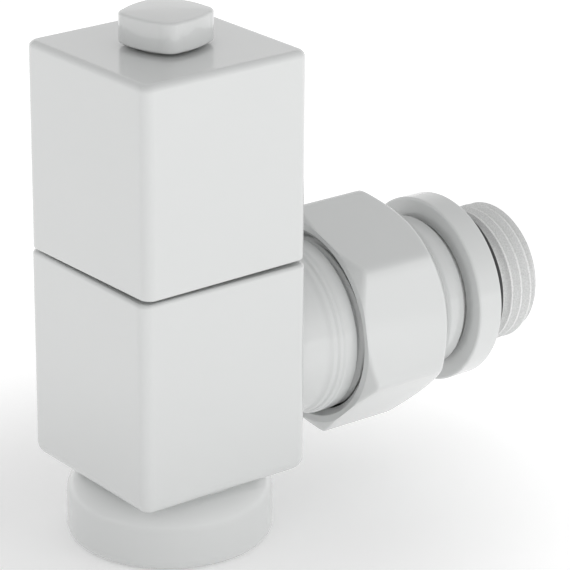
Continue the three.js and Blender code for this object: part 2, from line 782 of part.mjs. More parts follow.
// ---- Finishes ----
const FINISHES = {
  whitePaint: { color: 0xf0f0ee, roughness: 0.32, metalness: 0 },
  brass: { color: 0xc9a45c, roughness: 0.35, metalness: 1 },
  steel: { color: 0xb9bcc0, roughness: 0.35, metalness: 1 },
  mattNickel: { color: 0xb4b4b0, roughness: 0.55, metalness: 0.4 },
  blackRubber: { color: 0x161616, roughness: 0.7, metalness: 0 },
  greyFibre: { color: 0x6d7470, roughness: 0.85, metalness: 0 },
  whitePlastic: { color: 0xe6e4dc, roughness: 0.5, metalness: 0 },
};

/** Names a solid and gives it a finish. */
function piece(name, solid, finish) {
  const material = new THREE.MeshStandardMaterial(FINISHES[finish]);
  const mesh = new THREE.Mesh(toGeometry(solid), material);
  mesh.name = name;
  return mesh;
}

// ---- Assembly ----
const valve = new THREE.Group();
valve.add(
  piece("valve_body", valveBody(), "whitePaint"),
  piece("bonnet", bonnet(), "brass"),
  piece("bonnet_seal", bonnetSeal(), "blackRubber"),
  piece("spindle", spindle(), "brass"),
  piece("gland_packing", glandPacking(), "whitePlastic"),
  piece("gland_nut", glandNut(), "brass"),
  piece("spindle_circlip", circlip(), "steel"),
  piece("plug_carrier", plugCarrier(), "brass"),
  piece("plug_seal", plugSeal(), "blackRubber"),
  piece("plug_screw", plugScrew(), "steel"),
);
stemSealHeights().forEach((foot, index) => {
  valve.add(piece(`stem_seal_${index + 1}`, stemSeal(foot), "blackRubber"));
});

const union = new THREE.Group();
union.rotation.y = QUARTER_TURN;
union.position.z = outletHeight;
union.add(
  piece("union_nut", unionNut(), "whitePaint"),
  piece("union_seal", unionSeal(), "greyFibre"),
  piece("tailpiece", tailpiece(), "mattNickel"),
  piece("tail_ring", tailRing(), "whitePaint"),
  piece("tail_seal", tailSeal(), "blackRubber"),
);

const cover = new THREE.Group();
cover.rotation.z = radians(coverTurnDegrees);
cover.add(
  piece("head_cover", headCover(), "whitePaint"),
  piece("cover_insert", coverInsert(), "whitePlastic"),
  piece("knob_washer", knobWasher(), "whitePlastic"),
);

const knob = new THREE.Group();
knob.rotation.z = radians(knobTurnDegrees);
knob.add(piece("cap_knob", capKnob(), "whitePaint"), piece("knob_stud", knobStud(), "steel"));
cover.add(knob);

valve.add(union, cover);

export default valve;
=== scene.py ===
"""Looks of a white square angle lockshield valve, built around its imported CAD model.

Sizes in the classes are millimetres, and every mesh is turned into metres when its object is made.
+Z runs up the inlet axis, +X out along the outlet axis, and the origin is the centre of the inlet mouth.
"""
import itertools
import logging
import math
from dataclasses import dataclass, field
from enum import Enum
from typing import Any, Callable, Sequence

import bmesh
import bpy
import numpy as np
from mathutils import Matrix, Vector


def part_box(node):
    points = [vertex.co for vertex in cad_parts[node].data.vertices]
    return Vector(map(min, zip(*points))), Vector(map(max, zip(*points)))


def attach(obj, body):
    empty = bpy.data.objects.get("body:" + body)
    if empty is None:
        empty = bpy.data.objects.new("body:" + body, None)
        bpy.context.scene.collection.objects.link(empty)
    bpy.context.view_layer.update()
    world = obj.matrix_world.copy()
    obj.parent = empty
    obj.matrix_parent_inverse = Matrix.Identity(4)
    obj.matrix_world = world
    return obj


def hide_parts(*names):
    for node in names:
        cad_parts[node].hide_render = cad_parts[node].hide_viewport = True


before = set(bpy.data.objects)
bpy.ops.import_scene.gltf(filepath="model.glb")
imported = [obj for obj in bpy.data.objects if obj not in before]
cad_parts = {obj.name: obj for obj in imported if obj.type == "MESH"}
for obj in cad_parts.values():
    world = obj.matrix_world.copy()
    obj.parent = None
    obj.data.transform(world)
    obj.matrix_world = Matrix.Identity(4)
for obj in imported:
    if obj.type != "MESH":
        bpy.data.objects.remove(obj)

LOG = logging.getLogger("valve")
MM = 0.001  # metres in a millimetre
MERGE = 1e-6  # metres: points closer than this are one point
SHARP = math.radians(34)  # edges that turn more than this are shaded as sharp
ARC_STEP = math.radians(11)  # turn between two points of a rounded corner
HOLD = 0.07  # millimetres of flat kept next to a rounded corner, so that flats shade flat
PIPE_PITCH = 1.814  # millimetres, pitch of the pipe threads of the inlet, the union and the tail
EDGE_STEPS = 7  # steps along a rounded edge of the knob

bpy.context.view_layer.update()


# ---------------------------------------------------------------- node trees

class Wire:
    """One output socket of a node tree. Arithmetic on it adds Math nodes to the tree."""

    def __init__(self, graph: "Graph", socket: bpy.types.NodeSocket) -> None:
        """Keeps the tree's graph and the socket."""
        self.graph = graph
        self.socket = socket

    @staticmethod
    def _operator(operation: str, reflected: bool = False) -> Callable[["Wire", Any], "Wire"]:
        """Makes the method of one arithmetic operator.

        Args:
            operation: The Math node's operation.
            reflected: Whether the wire is the second operand.

        Returns:
            The method.
        """

        def method(self: "Wire", other: "Wire | float") -> "Wire":
            """The result of the operation, as a wire."""
            return self.graph.math(operation, *((other, self) if reflected else (self, other)))

        return method

    __add__, __radd__ = _operator("ADD"), _operator("ADD", reflected=True)
    __sub__, __rsub__ = _operator("SUBTRACT"), _operator("SUBTRACT", reflected=True)
    __mul__, __rmul__ = _operator("MULTIPLY"), _operator("MULTIPLY", reflected=True)
    __truediv__, __rtruediv__ = _operator("DIVIDE"), _operator("DIVIDE", reflected=True)


class Graph:
    """Adds nodes to a shader or geometry tree."""

    def __init__(self, tree: bpy.types.NodeTree) -> None:
        """Keeps the tree."""
        self.tree = tree

    def node(
        self,
        kind: str,
        settings: dict[str, Any] | None = None,
        inputs: dict[str | int, Any] | None = None,
    ) -> bpy.types.Node:
        """Adds one node.

        Args:
            kind: The node's Blender type.
            settings: Attributes set before the sockets; "stops" fills a colour ramp.
            inputs: Value or wire for each socket, by name or by number.

        Returns:
            The new node.
        """
        made = self.tree.nodes.new(kind)
        for name, value in (settings or {}).items():
            if name == "stops":
                self._fill_ramp(made.color_ramp, value)
            else:
                setattr(made, name, value)
        for name, value in (inputs or {}).items():
            if isinstance(value, Wire):
                self.tree.links.new(value.socket, made.inputs[name])
            else:
                made.inputs[name].default_value = value
        return made

    def wire(
        self,
        kind: str,
        settings: dict[str, Any] | None = None,
        inputs: dict[str | int, Any] | None = None,
        output: str | int = 0,
    ) -> Wire:
        """Adds one node and gives one of its outputs; the arguments are those of node()."""
        return Wire(self, self.node(kind, settings, inputs).outputs[output])

    def math(self, operation: str, *values: Wire | float, clamp: bool = False) -> Wire:
        """Adds a Math node.

        Args:
            operation: The node's operation.
            values: Its operands, wires or numbers.
            clamp: Whether the result is kept between 0 and 1.

        Returns:
            The result.
        """
        settings = {"operation": operation, "use_clamp": clamp}
        return self.wire("ShaderNodeMath", settings, dict(enumerate(values)))

    def mix_colour(self, factor: Wire | float, low: Any, high: Any) -> Wire:
        """Mixes two colours by a factor."""
        inputs = {0: factor, 6: low, 7: high}
        return self.wire("ShaderNodeMix", {"data_type": "RGBA"}, inputs, output=2)

    @staticmethod
    def _fill_ramp(ramp: bpy.types.ColorRamp, stops: Sequence[tuple[float, float]]) -> None:
        """Sets a ramp's stops, each a position and a grey value."""
        while len(ramp.elements) < len(stops):
            ramp.elements.new(1.0)
        for element, (position, grey) in zip(ramp.elements, stops):
            element.position = position
            element.color = (grey, grey, grey, 1.0)


# ---------------------------------------------------------------- finishes

Colour = tuple[float, float, float]


@dataclass(frozen=True)
class Finish:
    """A finish: one material for one slot of the record.

    Sizes of grain are millimetres, and depths of relief are thousandths of a millimetre.
    """

    slot: str
    colour: Colour
    roughness: float

    def material(self) -> bpy.types.Material:
        """The finish's material, made once."""
        known = bpy.data.materials.get("finish_" + self.slot)
        if known:
            return known
        made = bpy.data.materials.new("finish_" + self.slot)
        made.use_nodes = True
        graph = Graph(made.node_tree)
        shader = made.node_tree.nodes["Principled BSDF"]
        shader.inputs["Base Color"].default_value = (*self.colour, 1.0)
        shader.inputs["Roughness"].default_value = self.roughness
        place = graph.wire("ShaderNodeTexCoord", output="Object")
        self.dress(graph, shader, place)
        return made

    def dress(self, graph: Graph, shader: bpy.types.Node, place: Wire) -> None:
        """Adds the finish's own detail to its shader; each finish writes its own."""
        raise NotImplementedError

    @staticmethod
    def noise(graph: Graph, place: Wire, grain: float, detail: float = 3.0) -> Wire:
        """Noise from 0 to 1 whose grain is so many millimetres."""
        inputs = {"Vector": place, "Scale": 1 / (grain * MM), "Detail": detail, "Roughness": 0.55}
        return graph.wire("ShaderNodeTexNoise", None, inputs)

    @staticmethod
    def stretched(graph: Graph, place: Wire, along: Vector) -> Wire:
        """The place, scaled along each axis, for grain that runs one way."""
        inputs = {"Vector": place, "Scale": along}
        return graph.wire("ShaderNodeMapping", {"vector_type": "POINT"}, inputs)

    @staticmethod
    def relief(graph: Graph, shader: bpy.types.Node, height: Wire, depth: float) -> None:
        """Feeds a height from 0 to 1, so many thousandths of a millimetre deep, to the normal."""
        inputs = {"Height": height, "Distance": depth * MM / 1000, "Strength": 1.0}
        bump = graph.wire("ShaderNodeBump", None, inputs)
        graph.tree.links.new(bump.socket, shader.inputs["Normal"])

    def uneven(self, graph: Graph, shader: bpy.types.Node, mask: Wire, spread: float) -> None:
        """Lets a mask from 0 to 1 spread the roughness about its own value."""
        self.feed(graph, shader, "Roughness", mask * spread + (self.roughness - spread / 2))

    @staticmethod
    def feed(graph: Graph, shader: bpy.types.Node, name: str, wire: Wire) -> None:
        """Links a wire to one of the shader's inputs."""
        graph.tree.links.new(wire.socket, shader.inputs[name])

    def tinted(self, graph: Graph, shader: bpy.types.Node, mask: Wire, share: float) -> None:
        """Lets a mask from 0 to 1 darken the colour by up to a share."""
        dark = tuple(channel * (1 - share) for channel in self.colour)
        colour = graph.mix_colour(mask, (*self.colour, 1.0), (*dark, 1.0))
        self.feed(graph, shader, "Base Color", colour)


@dataclass(frozen=True)
class SatinPaint(Finish):
    """Smooth stoved paint with a faint orange peel and a clear sheen."""

    peel_grain: float = 1.1
    peel_depth: float = 1.6
    dust_grain: float = 0.16
    dust_share: float = 0.18  # of the relief
    cloud_grain: float = 14.0
    cloud_share: float = 0.025
    patch_grain: float = 5.0
    patch_spread: float = 0.06
    coat: float = 1.0
    coat_roughness: float = 0.05
    coat_index: float = 1.8

    def dress(self, graph: Graph, shader: bpy.types.Node, place: Wire) -> None:
        """Cloudy film thickness, soft patches of sheen, fine dust and orange peel."""
        shader.inputs["Coat Weight"].default_value = self.coat
        shader.inputs["Coat Roughness"].default_value = self.coat_roughness
        shader.inputs["Coat IOR"].default_value = self.coat_index
        cloud = self.noise(graph, place, self.cloud_grain, detail=2.0)
        self.tinted(graph, shader, cloud, self.cloud_share)
        self.uneven(graph, shader, self.noise(graph, place, self.patch_grain), self.patch_spread)
        peel = self.noise(graph, place, self.peel_grain, detail=1.0)
        dust = self.noise(graph, place, self.dust_grain, detail=2.0)
        self.relief(graph, shader, peel + dust * self.dust_share, self.peel_depth)


@dataclass(frozen=True)
class BlastedMetal(Finish):
    """Matt plated metal with a sandblasted, speckled skin."""

    grit: float = 0.22
    grit_depth: float = 16.0
    grit_share: float = 0.22
    speckle: tuple[float, float] = (0.3, 0.7)  # noise values that are lightest and darkest
    smoothest: float = 0.38
    spread: float = 0.25
    metal: float = 0.15

    def dress(self, graph: Graph, shader: bpy.types.Node, place: Wire) -> None:
        """Speckle in colour, in roughness and in relief."""
        shader.inputs["Metallic"].default_value = self.metal
        grit = self.noise(graph, place, self.grit, detail=4.0)
        stops = list(zip(self.speckle, (0.0, 1.0)))
        speckle = graph.wire("ShaderNodeValToRGB", {"stops": stops}, {"Fac": grit})
        self.tinted(graph, shader, speckle, self.grit_share)
        self.feed(graph, shader, "Roughness", grit * self.spread + self.smoothest)
        self.relief(graph, shader, grit, self.grit_depth)


@dataclass(frozen=True)
class TurnedBrass(Finish):
    """Bright-turned brass with fine tool rings across the upright axis and a slight tarnish."""

    ring_pitch: float = 0.12
    ring_depth: float = 2.0
    ring_squeeze: float = 0.04  # how much slower the rings' noise runs across the axis
    tarnish_grain: float = 3.5
    tarnish_share: float = 0.3
    tarnish_spread: float = 0.16

    def dress(self, graph: Graph, shader: bpy.types.Node, place: Wire) -> None:
        """Tool rings in relief, cloudy tarnish in colour and roughness."""
        shader.inputs["Metallic"].default_value = 1.0
        tarnish = self.noise(graph, place, self.tarnish_grain, detail=5.0)
        self.tinted(graph, shader, tarnish, self.tarnish_share)
        self.uneven(graph, shader, tarnish, self.tarnish_spread)
        squeezed = self.stretched(graph, place, Vector((self.ring_squeeze, self.ring_squeeze, 1.0)))
        rings = self.noise(graph, squeezed, self.ring_pitch, detail=2.0)
        self.relief(graph, shader, rings, self.ring_depth)


@dataclass(frozen=True)
class DrawnSteel(Finish):
    """Bright drawn steel with lines along the upright axis."""

    line_pitch: float = 0.08
    line_depth: float = 1.5
    line_squeeze: float = 0.05  # how much slower the lines' noise runs along the axis
    line_share: float = 0.15
    line_spread: float = 0.18

    def dress(self, graph: Graph, shader: bpy.types.Node, place: Wire) -> None:
        """Drawing lines in colour, roughness and relief."""
        shader.inputs["Metallic"].default_value = 1.0
        squeezed = self.stretched(graph, place, Vector((1.0, 1.0, self.line_squeeze)))
        lines = self.noise(graph, squeezed, self.line_pitch, detail=3.0)
        self.tinted(graph, shader, lines, self.line_share)
        self.uneven(graph, shader, lines, self.line_spread)
        self.relief(graph, shader, lines, self.line_depth)


@dataclass(frozen=True)
class MouldedRubber(Finish):
    """Black moulded rubber with a dry bloom."""

    grain: float = 0.12
    grain_depth: float = 5.0
    bloom_grain: float = 2.2
    bloom_lift: float = 0.02  # added to each channel of the colour
    bloom_spread: float = 0.2

    def dress(self, graph: Graph, shader: bpy.types.Node, place: Wire) -> None:
        """Fine grain in relief and a grey bloom in patches."""
        bloom = self.noise(graph, place, self.bloom_grain, detail=4.0)
        dusty = tuple(channel + self.bloom_lift for channel in self.colour)
        colour = graph.mix_colour(bloom, (*self.colour, 1.0), (*dusty, 1.0))
        self.feed(graph, shader, "Base Color", colour)
        self.uneven(graph, shader, bloom, self.bloom_spread)
        self.relief(graph, shader, self.noise(graph, place, self.grain), self.grain_depth)


@dataclass(frozen=True)
class MouldedPlastic(Finish):
    """Moulded plastic or pressed fibre: fine grain, slight mottling."""

    grain: float = 0.2
    grain_depth: float = 4.0
    mottle: float = 0.08
    mottle_size: float = 6.0  # grains to a patch
    grain_spread: float = 0.14

    def dress(self, graph: Graph, shader: bpy.types.Node, place: Wire) -> None:
        """Mottling in colour, fine grain in relief and roughness."""
        mottling = self.noise(graph, place, self.grain * self.mottle_size, detail=4.0)
        self.tinted(graph, shader, mottling, self.mottle)
        grain = self.noise(graph, place, self.grain)
        self.uneven(graph, shader, grain, self.grain_spread)
        self.relief(graph, shader, grain, self.grain_depth)


class Finishes(Enum):
    """The finishes of this valve, each for one slot of the record."""

    PAINT = SatinPaint("white_paint", (0.63, 0.641, 0.637), 0.32)
    THREAD = BlastedMetal("matt_nickel", (0.86, 0.865, 0.86), 0.5)
    BRASS = TurnedBrass("brass", (0.74, 0.55, 0.27), 0.3)
    STEEL = DrawnSteel("steel", (0.6, 0.61, 0.63), 0.28)
    RUBBER = MouldedRubber("rubber", (0.012, 0.012, 0.013), 0.62)
    FIBRE = MouldedPlastic("fibre", (0.16, 0.19, 0.18), 0.8, grain=0.3, grain_depth=12.0, mottle=0.35)
    PTFE = MouldedPlastic("ptfe", (0.76, 0.76, 0.73), 0.42)
    PLASTIC = MouldedPlastic("white_plastic", (0.74, 0.735, 0.71), 0.48)


# ---------------------------------------------------------------- outlines and skins

Corner = tuple[float, ...]


def softened(corners: Sequence[Corner], closed: bool = True) -> np.ndarray:
    """Rounds the corners of a profile.

    Args:
        corners: (radius, height) or (radius, height, rounding) of each corner, in order.
        closed: Whether the last corner joins the first.

    Returns:
        The profile's points, one row each.
    """
    count = len(corners)
    places = [np.array(corner[:2], float) for corner in corners]
    points: list[np.ndarray] = []
    for i, corner in enumerate(corners):
        rounding = corner[2] if len(corner) > 2 else 0.0
        here = places[i]
        if rounding <= 0 or (not closed and i in (0, count - 1)):
            points.append(here)
            continue
        back, ahead = places[i - 1] - here, places[(i + 1) % count] - here
        back_length, ahead_length = np.linalg.norm(back), np.linalg.norm(ahead)
        back, ahead = back / back_length, ahead / ahead_length
        between = math.acos(float(np.clip(back @ ahead, -1, 1)))
        reach = min(rounding / math.tan(between / 2), 0.49 * back_length, 0.49 * ahead_length)
        radius = reach * math.tan(between / 2)
        centre = here + (back + ahead) / np.linalg.norm(back + ahead) * (radius / math.sin(between / 2))
        start, end = here + back * reach, here + ahead * reach
        if back_length - reach > 4 * HOLD:
            points.append(start + back * HOLD)
        turn = math.pi - between
        steps = max(2, math.ceil(turn / ARC_STEP))
        first = np.arctan2(*(start - centre)[::-1])
        last = np.arctan2(*(end - centre)[::-1])
        sweep = (last - first + math.pi) % (2 * math.pi) - math.pi
        for step in range(steps + 1):
            angle = first + sweep * step / steps
            points.append(centre + radius * np.array((math.cos(angle), math.sin(angle))))
        if ahead_length - reach > 4 * HOLD:
            points.append(end + ahead * HOLD)
    return np.array(points)


@dataclass(frozen=True)
class SquareRing:
    """Square outlines with rounded corners, and round ones, that all have the same point count.

    Point 0 lies on +X, and the points run anticlockwise.
    """

    side_steps: int = 26
    corner_steps: int = 14

    @property
    def count(self) -> int:
        """Points in each outline."""
        return 4 * (self.side_steps + self.corner_steps)

    def square(self, half: float, corner: float, bulge: float = 0.0) -> np.ndarray:
        """A square outline.

        Args:
            half: Half its side.
            corner: Radius of its corners.
            bulge: How far the middle of each side stands out.

        Returns:
            Its points, one row each.
        """
        straight = half - corner
        inner = np.linspace(-1, 1, self.side_steps - 1) * (straight - min(HOLD, straight / 4))
        along = np.concatenate(([-straight], inner))
        out = half + bulge * (1 - (along / straight) ** 2)
        side = np.stack((out, along), 1)
        angles = np.arange(self.corner_steps) / self.corner_steps * (math.pi / 2)
        arc = straight + corner * np.stack((np.cos(angles), np.sin(angles)), 1)
        quarter = np.concatenate((side, arc))
        turns = [quarter @ self._turn(i * math.pi / 2) for i in range(4)]
        return np.roll(np.concatenate(turns), -(self.side_steps // 2), axis=0)

    def round(self, radius: float) -> np.ndarray:
        """A round outline of even steps."""
        angles = np.arange(self.count) / self.count * 2 * math.pi
        return radius * np.stack((np.cos(angles), np.sin(angles)), 1)

    @staticmethod
    def _turn(angle: float) -> np.ndarray:
        """Matrix that turns row vectors anticlockwise."""
        return np.array(((math.cos(angle), math.sin(angle)), (-math.sin(angle), math.cos(angle))))


class Skin:
    """Points and faces of one piece, in millimetres about its own axis."""

    def __init__(self, points: np.ndarray, faces: list[tuple[int, ...]]) -> None:
        """Keeps the points, one row each, and the faces' point numbers."""
        self.points = points
        self.faces = faces

    @classmethod
    def loft(cls, rings: Sequence[np.ndarray], closed: bool = False) -> "Skin":
        """Joins rings of equal point count.

        Args:
            rings: Rings of points, one row each; a ring of one point is a pole.
            closed: Whether the last ring joins the first.

        Returns:
            The skin through the rings.
        """
        starts = np.cumsum([0] + [len(ring) for ring in rings])
        count = max(len(ring) for ring in rings)
        faces: list[tuple[int, ...]] = []
        pairs = list(zip(range(len(rings)), range(1, len(rings))))
        if closed:
            pairs.append((len(rings) - 1, 0))
        for low, high in pairs:
            for i in range(count):
                j = (i + 1) % count
                a, b = (starts[low] + (k if len(rings[low]) > 1 else 0) for k in (i, j))
                d, c = (starts[high] + (k if len(rings[high]) > 1 else 0) for k in (i, j))
                faces.append(tuple(int(v) for v in dict.fromkeys((a, b, c, d))))
        return cls(np.concatenate(rings), faces)

    @classmethod
    def turned(cls, profile: np.ndarray, steps: int, gap: int | None = None) -> "Skin":
        """Turns a profile about Z.

        Args:
            profile: (radius, height) rows. It starts and ends on the axis, or is a closed loop.
            steps: Steps round the axis.
            gap: Number of the profile point after which the skin is left open for a thread.

        Returns:
            The skin.
        """
        angles = np.arange(steps) / steps * 2 * math.pi
        spokes = np.stack((np.cos(angles), np.sin(angles), np.zeros(steps)), 1)
        rings = []
        for radius, height in profile:
            if radius < 1e-9:
                rings.append(np.array(((0.0, 0.0, height),)))
            else:
                rings.append(spokes * radius + (0, 0, height))
        closed = profile[0][0] > 1e-9
        if gap is None:
            return cls.loft(rings, closed)
        if closed:
            return cls.loft(rings[gap + 1:] + rings[: gap + 1])
        return cls.loft(rings[: gap + 1]).joined(cls.loft(rings[gap + 1:]))

    @classmethod
    def block(cls, corner: Sequence[float], far: Sequence[float]) -> "Skin":
        """A box between two opposite corners, for cutting slots."""
        points = list(itertools.product(*zip(corner, far)))
        faces = [(0, 1, 3, 2), (4, 6, 7, 5), (0, 4, 5, 1), (2, 3, 7, 6), (0, 2, 6, 4), (1, 5, 7, 3)]
        return cls(np.array(points, float), faces)

    def joined(self, other: "Skin") -> "Skin":
        """This skin and another as one."""
        shift = len(self.points)
        faces = self.faces + [tuple(i + shift for i in face) for face in other.faces]
        return Skin(np.concatenate((self.points, other.points)), faces)

    def object(self, name: str) -> bpy.types.Object:
        """A new object with this skin, in metres."""
        mesh = bpy.data.meshes.new(name)
        mesh.from_pydata((self.points * MM).tolist(), [], self.faces)
        made = bpy.data.objects.new(name, mesh)
        bpy.context.scene.collection.objects.link(made)
        return made


def lifted(ring: np.ndarray, height: float) -> np.ndarray:
    """A flat outline as a ring of points at a height."""
    return np.column_stack((ring, np.full(len(ring), height)))


def edge_rows(
    radius: float, flat: float, steps: int, upper: bool, first: float = 0.0
) -> list[tuple[float, float]]:
    """Inset and height of the outlines along a rounded edge, from below.

    Args:
        radius: Rounding of the edge.
        flat: Height of the flat face that the edge runs into.
        steps: Steps along the edge.
        upper: Whether the flat face is above the side and not below it.
        first: Turn left out next to the flat face.

    Returns:
        A row for each outline.
    """
    way = -1 if upper else 1
    angles = np.linspace(first, math.pi / 2, steps + 1)[::way]
    return [(radius * (1 - math.sin(a)), flat + way * radius * (1 - math.cos(a))) for a in angles]


def baked(piece: bpy.types.Object) -> bpy.types.Object:
    """Turns an object's modifiers into a plain mesh and removes them."""
    graph = bpy.context.evaluated_depsgraph_get()
    mesh = bpy.data.meshes.new_from_object(piece.evaluated_get(graph))
    piece.modifiers.clear()
    old, piece.data = piece.data, mesh
    mesh.name = piece.name
    bpy.data.meshes.remove(old)
    return piece


def closed_and_outward(piece: bpy.types.Object, merge: float = MERGE) -> bpy.types.Object:
    """Merges doubled points, drops collapsed faces and turns all faces outwards."""
    work = bmesh.new()
    work.from_mesh(piece.data)
    bmesh.ops.remove_doubles(work, verts=work.verts, dist=merge)
    bmesh.ops.dissolve_degenerate(work, edges=work.edges, dist=merge / 4)
    loose = [vert for vert in work.verts if not vert.link_faces]
    bmesh.ops.delete(work, geom=loose, context="VERTS")
    bmesh.ops.recalc_face_normals(work, faces=work.faces)
    if work.calc_volume(signed=True) < 0:
        bmesh.ops.reverse_faces(work, faces=work.faces)
    work.to_mesh(piece.data)
    work.free()
    return piece


def combined(piece: bpy.types.Object, tool: bpy.types.Object, operation: str) -> bpy.types.Object:
    """Joins a tool to a piece or cuts it away, and removes the tool.

    Args:
        piece: The closed piece that is changed.
        tool: The closed tool.
        operation: UNION, DIFFERENCE or INTERSECT.

    Returns:
        The piece.
    """
    boolean = piece.modifiers.new("cut", "BOOLEAN")
    boolean.object = tool
    boolean.operation = operation
    boolean.solver = "MANIFOLD"
    baked(piece)
    bpy.data.objects.remove(tool)
    return piece


@dataclass(frozen=True)
class Axis:
    """The line that a turned piece is made about: its place, its direction and a turn about it."""

    height: float = 0.0
    along_outlet: bool = False
    turn: float = 0.0

    def matrix(self) -> Matrix:
        """Moves a piece made about Z to its axis, in metres."""
        turn = Matrix.Rotation(math.radians(self.turn), 4, "Z")
        lay = Matrix.Rotation(math.pi / 2, 4, "Y") if self.along_outlet else Matrix.Identity(4)
        return Matrix.Translation((0, 0, self.height * MM)) @ lay @ turn


OUTLET = Axis(26.3, along_outlet=True)


@dataclass(frozen=True)
class Placing:
    """Where a finished piece belongs: its finish, its body and the CAD nodes that it stands for."""

    finish: Finishes
    body: str
    nodes: tuple[str, ...]

    def settle(self, piece: bpy.types.Object, axis: Axis = Axis()) -> bpy.types.Object:
        """Finishes a piece.

        Args:
            piece: The piece, made about Z.
            axis: The axis that it is moved to.

        Returns:
            The piece, in place, dressed and riding on its body.
        """
        piece.data.transform(axis.matrix())
        closed_and_outward(piece)
        piece.data.shade_smooth()
        piece.data.set_sharp_from_angle(angle=SHARP)
        piece.data.materials.clear()
        piece.data.materials.append(self.finish.value.material())
        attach(piece, self.body)
        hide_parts(*self.nodes)
        LOG.info("%s: %d faces on %s", piece.name, len(piece.data.polygons), self.body)
        return piece


# ---------------------------------------------------------------- geometry node tools

class Tool:
    """A geometry tree with named inputs that works on one piece at a time."""

    name = ""
    inputs: dict[str, str] = {}

    def __init__(self) -> None:
        """Makes the tree once, with its interface."""
        self.tree = bpy.data.node_groups.new(self.name, "GeometryNodeTree")
        face = self.tree.interface
        face.new_socket("Geometry", in_out="INPUT", socket_type="NodeSocketGeometry")
        for label, kind in self.inputs.items():
            face.new_socket(label, in_out="INPUT", socket_type=kind)
        face.new_socket("Geometry", in_out="OUTPUT", socket_type="NodeSocketGeometry")
        self.graph = Graph(self.tree)
        self.group = self.tree.nodes.new("NodeGroupInput")
        self.finish_with(self.shape())

    def given(self, label: str) -> Wire:
        """One of the tree's named inputs."""
        return Wire(self.graph, self.group.outputs[label])

    def shape(self) -> Wire:
        """The tree's geometry; each tool writes its own."""
        raise NotImplementedError

    def finish_with(self, geometry: Wire) -> None:
        """Ends the tree: instances made real, material set."""
        real = self.graph.wire("GeometryNodeRealizeInstances", None, {"Geometry": geometry})
        inputs = {"Geometry": real, "Material": self.given("Finish")}
        painted = self.graph.wire("GeometryNodeSetMaterial", None, inputs)
        output = self.tree.nodes.new("NodeGroupOutput")
        self.tree.links.new(painted.socket, output.inputs[0])

    def apply(self, piece: bpy.types.Object, **values: Any) -> bpy.types.Object:
        """Works on a piece.

        Args:
            piece: The piece.
            values: The tree's inputs, with _ for a space; lengths are metres.

        Returns:
            The piece with a plain new mesh.
        """
        modifier = piece.modifiers.new(self.name, "NODES")
        modifier.node_group = self.tree
        for item in self.tree.interface.items_tree:
            key = item.name.replace(" ", "_")
            if item.in_out == "INPUT" and key in values:
                modifier[item.identifier] = values[key]
        return baked(piece)


class ScrewThread(Tool):
    """Closes the open band of a turned piece with a helical thread.

    The thread is a sheet that winds once round the axis per pitch: its rows are the same phase of the
    thread all the way round, so crests stay sharp, and its seam meets itself one pitch further on.
    Rows past either end are pressed flat on the end ring.
    """

    name = "screw_thread"
    inputs = {
        "Root": "NodeSocketFloat",
        "Depth": "NodeSocketFloat",
        "Pitch": "NodeSocketFloat",
        "From": "NodeSocketFloat",
        "To": "NodeSocketFloat",
        "Lead In": "NodeSocketFloat",
        "Steps Round": "NodeSocketInt",
        "Hand": "NodeSocketFloat",
        "Finish": "NodeSocketMaterial",
    }
    rows_per_turn = 12
    crest_flat = 0.13  # share of the pitch that is flat at the crest and at the root

    def shape(self) -> Wire:
        """A sheared grid wound into the thread and merged into the turned piece."""
        graph = self.graph
        low, high, pitch = self.given("From"), self.given("To"), self.given("Pitch")
        around = self.given("Steps Round")
        turns = graph.math("CEIL", (high - low) / pitch) + 1
        rows = turns * self.rows_per_turn + 1
        inputs = {"Vertices X": around + 1, "Vertices Y": rows}
        sheet = graph.wire("GeometryNodeMeshGrid", None, inputs, output="Mesh")
        index = graph.wire("GeometryNodeInputIndex")
        column = graph.math("FLOOR", (index + 0.5) / rows)
        row = index - column * rows
        share = column / around
        angle = share * (2 * math.pi)
        phase = row / self.rows_per_turn
        height = graph.math("MINIMUM", graph.math("MAXIMUM", low + (phase - 1 + share) * pitch, low), high)
        radius = self._radius(phase, height, low, high)
        across = radius * graph.math("COSINE", angle)
        beside = radius * graph.math("SINE", angle) * self.given("Hand")
        place = graph.wire("ShaderNodeCombineXYZ", None, {"X": across, "Y": beside, "Z": height})
        wound = graph.wire("GeometryNodeSetPosition", None, {"Geometry": sheet, "Position": place})
        both = graph.node("GeometryNodeJoinGeometry")
        for part in (wound, self.given("Geometry")):
            self.tree.links.new(part.socket, both.inputs[0])
        inputs = {"Geometry": Wire(graph, both.outputs[0]), "Distance": MERGE}
        return graph.wire("GeometryNodeMergeByDistance", None, inputs)

    def _radius(self, phase: Wire, height: Wire, low: Wire, high: Wire) -> Wire:
        """Radius of the thread at a phase, cut back by the lead-in at each end."""
        graph = self.graph
        wave = graph.math("FRACT", phase)
        climb = 1 - graph.math("ABSOLUTE", wave * 2 - 1)
        flank = graph.math("DIVIDE", climb - self.crest_flat, 1 - 2 * self.crest_flat, clamp=True)
        depth = self.given("Depth")
        rise = flank * graph.math("ABSOLUTE", depth)
        room = graph.math("MINIMUM", height - low, high - height) * self.given("Lead In")
        cut = graph.math("MINIMUM", rise, room)
        return self.given("Root") + cut * graph.math("SIGN", depth)


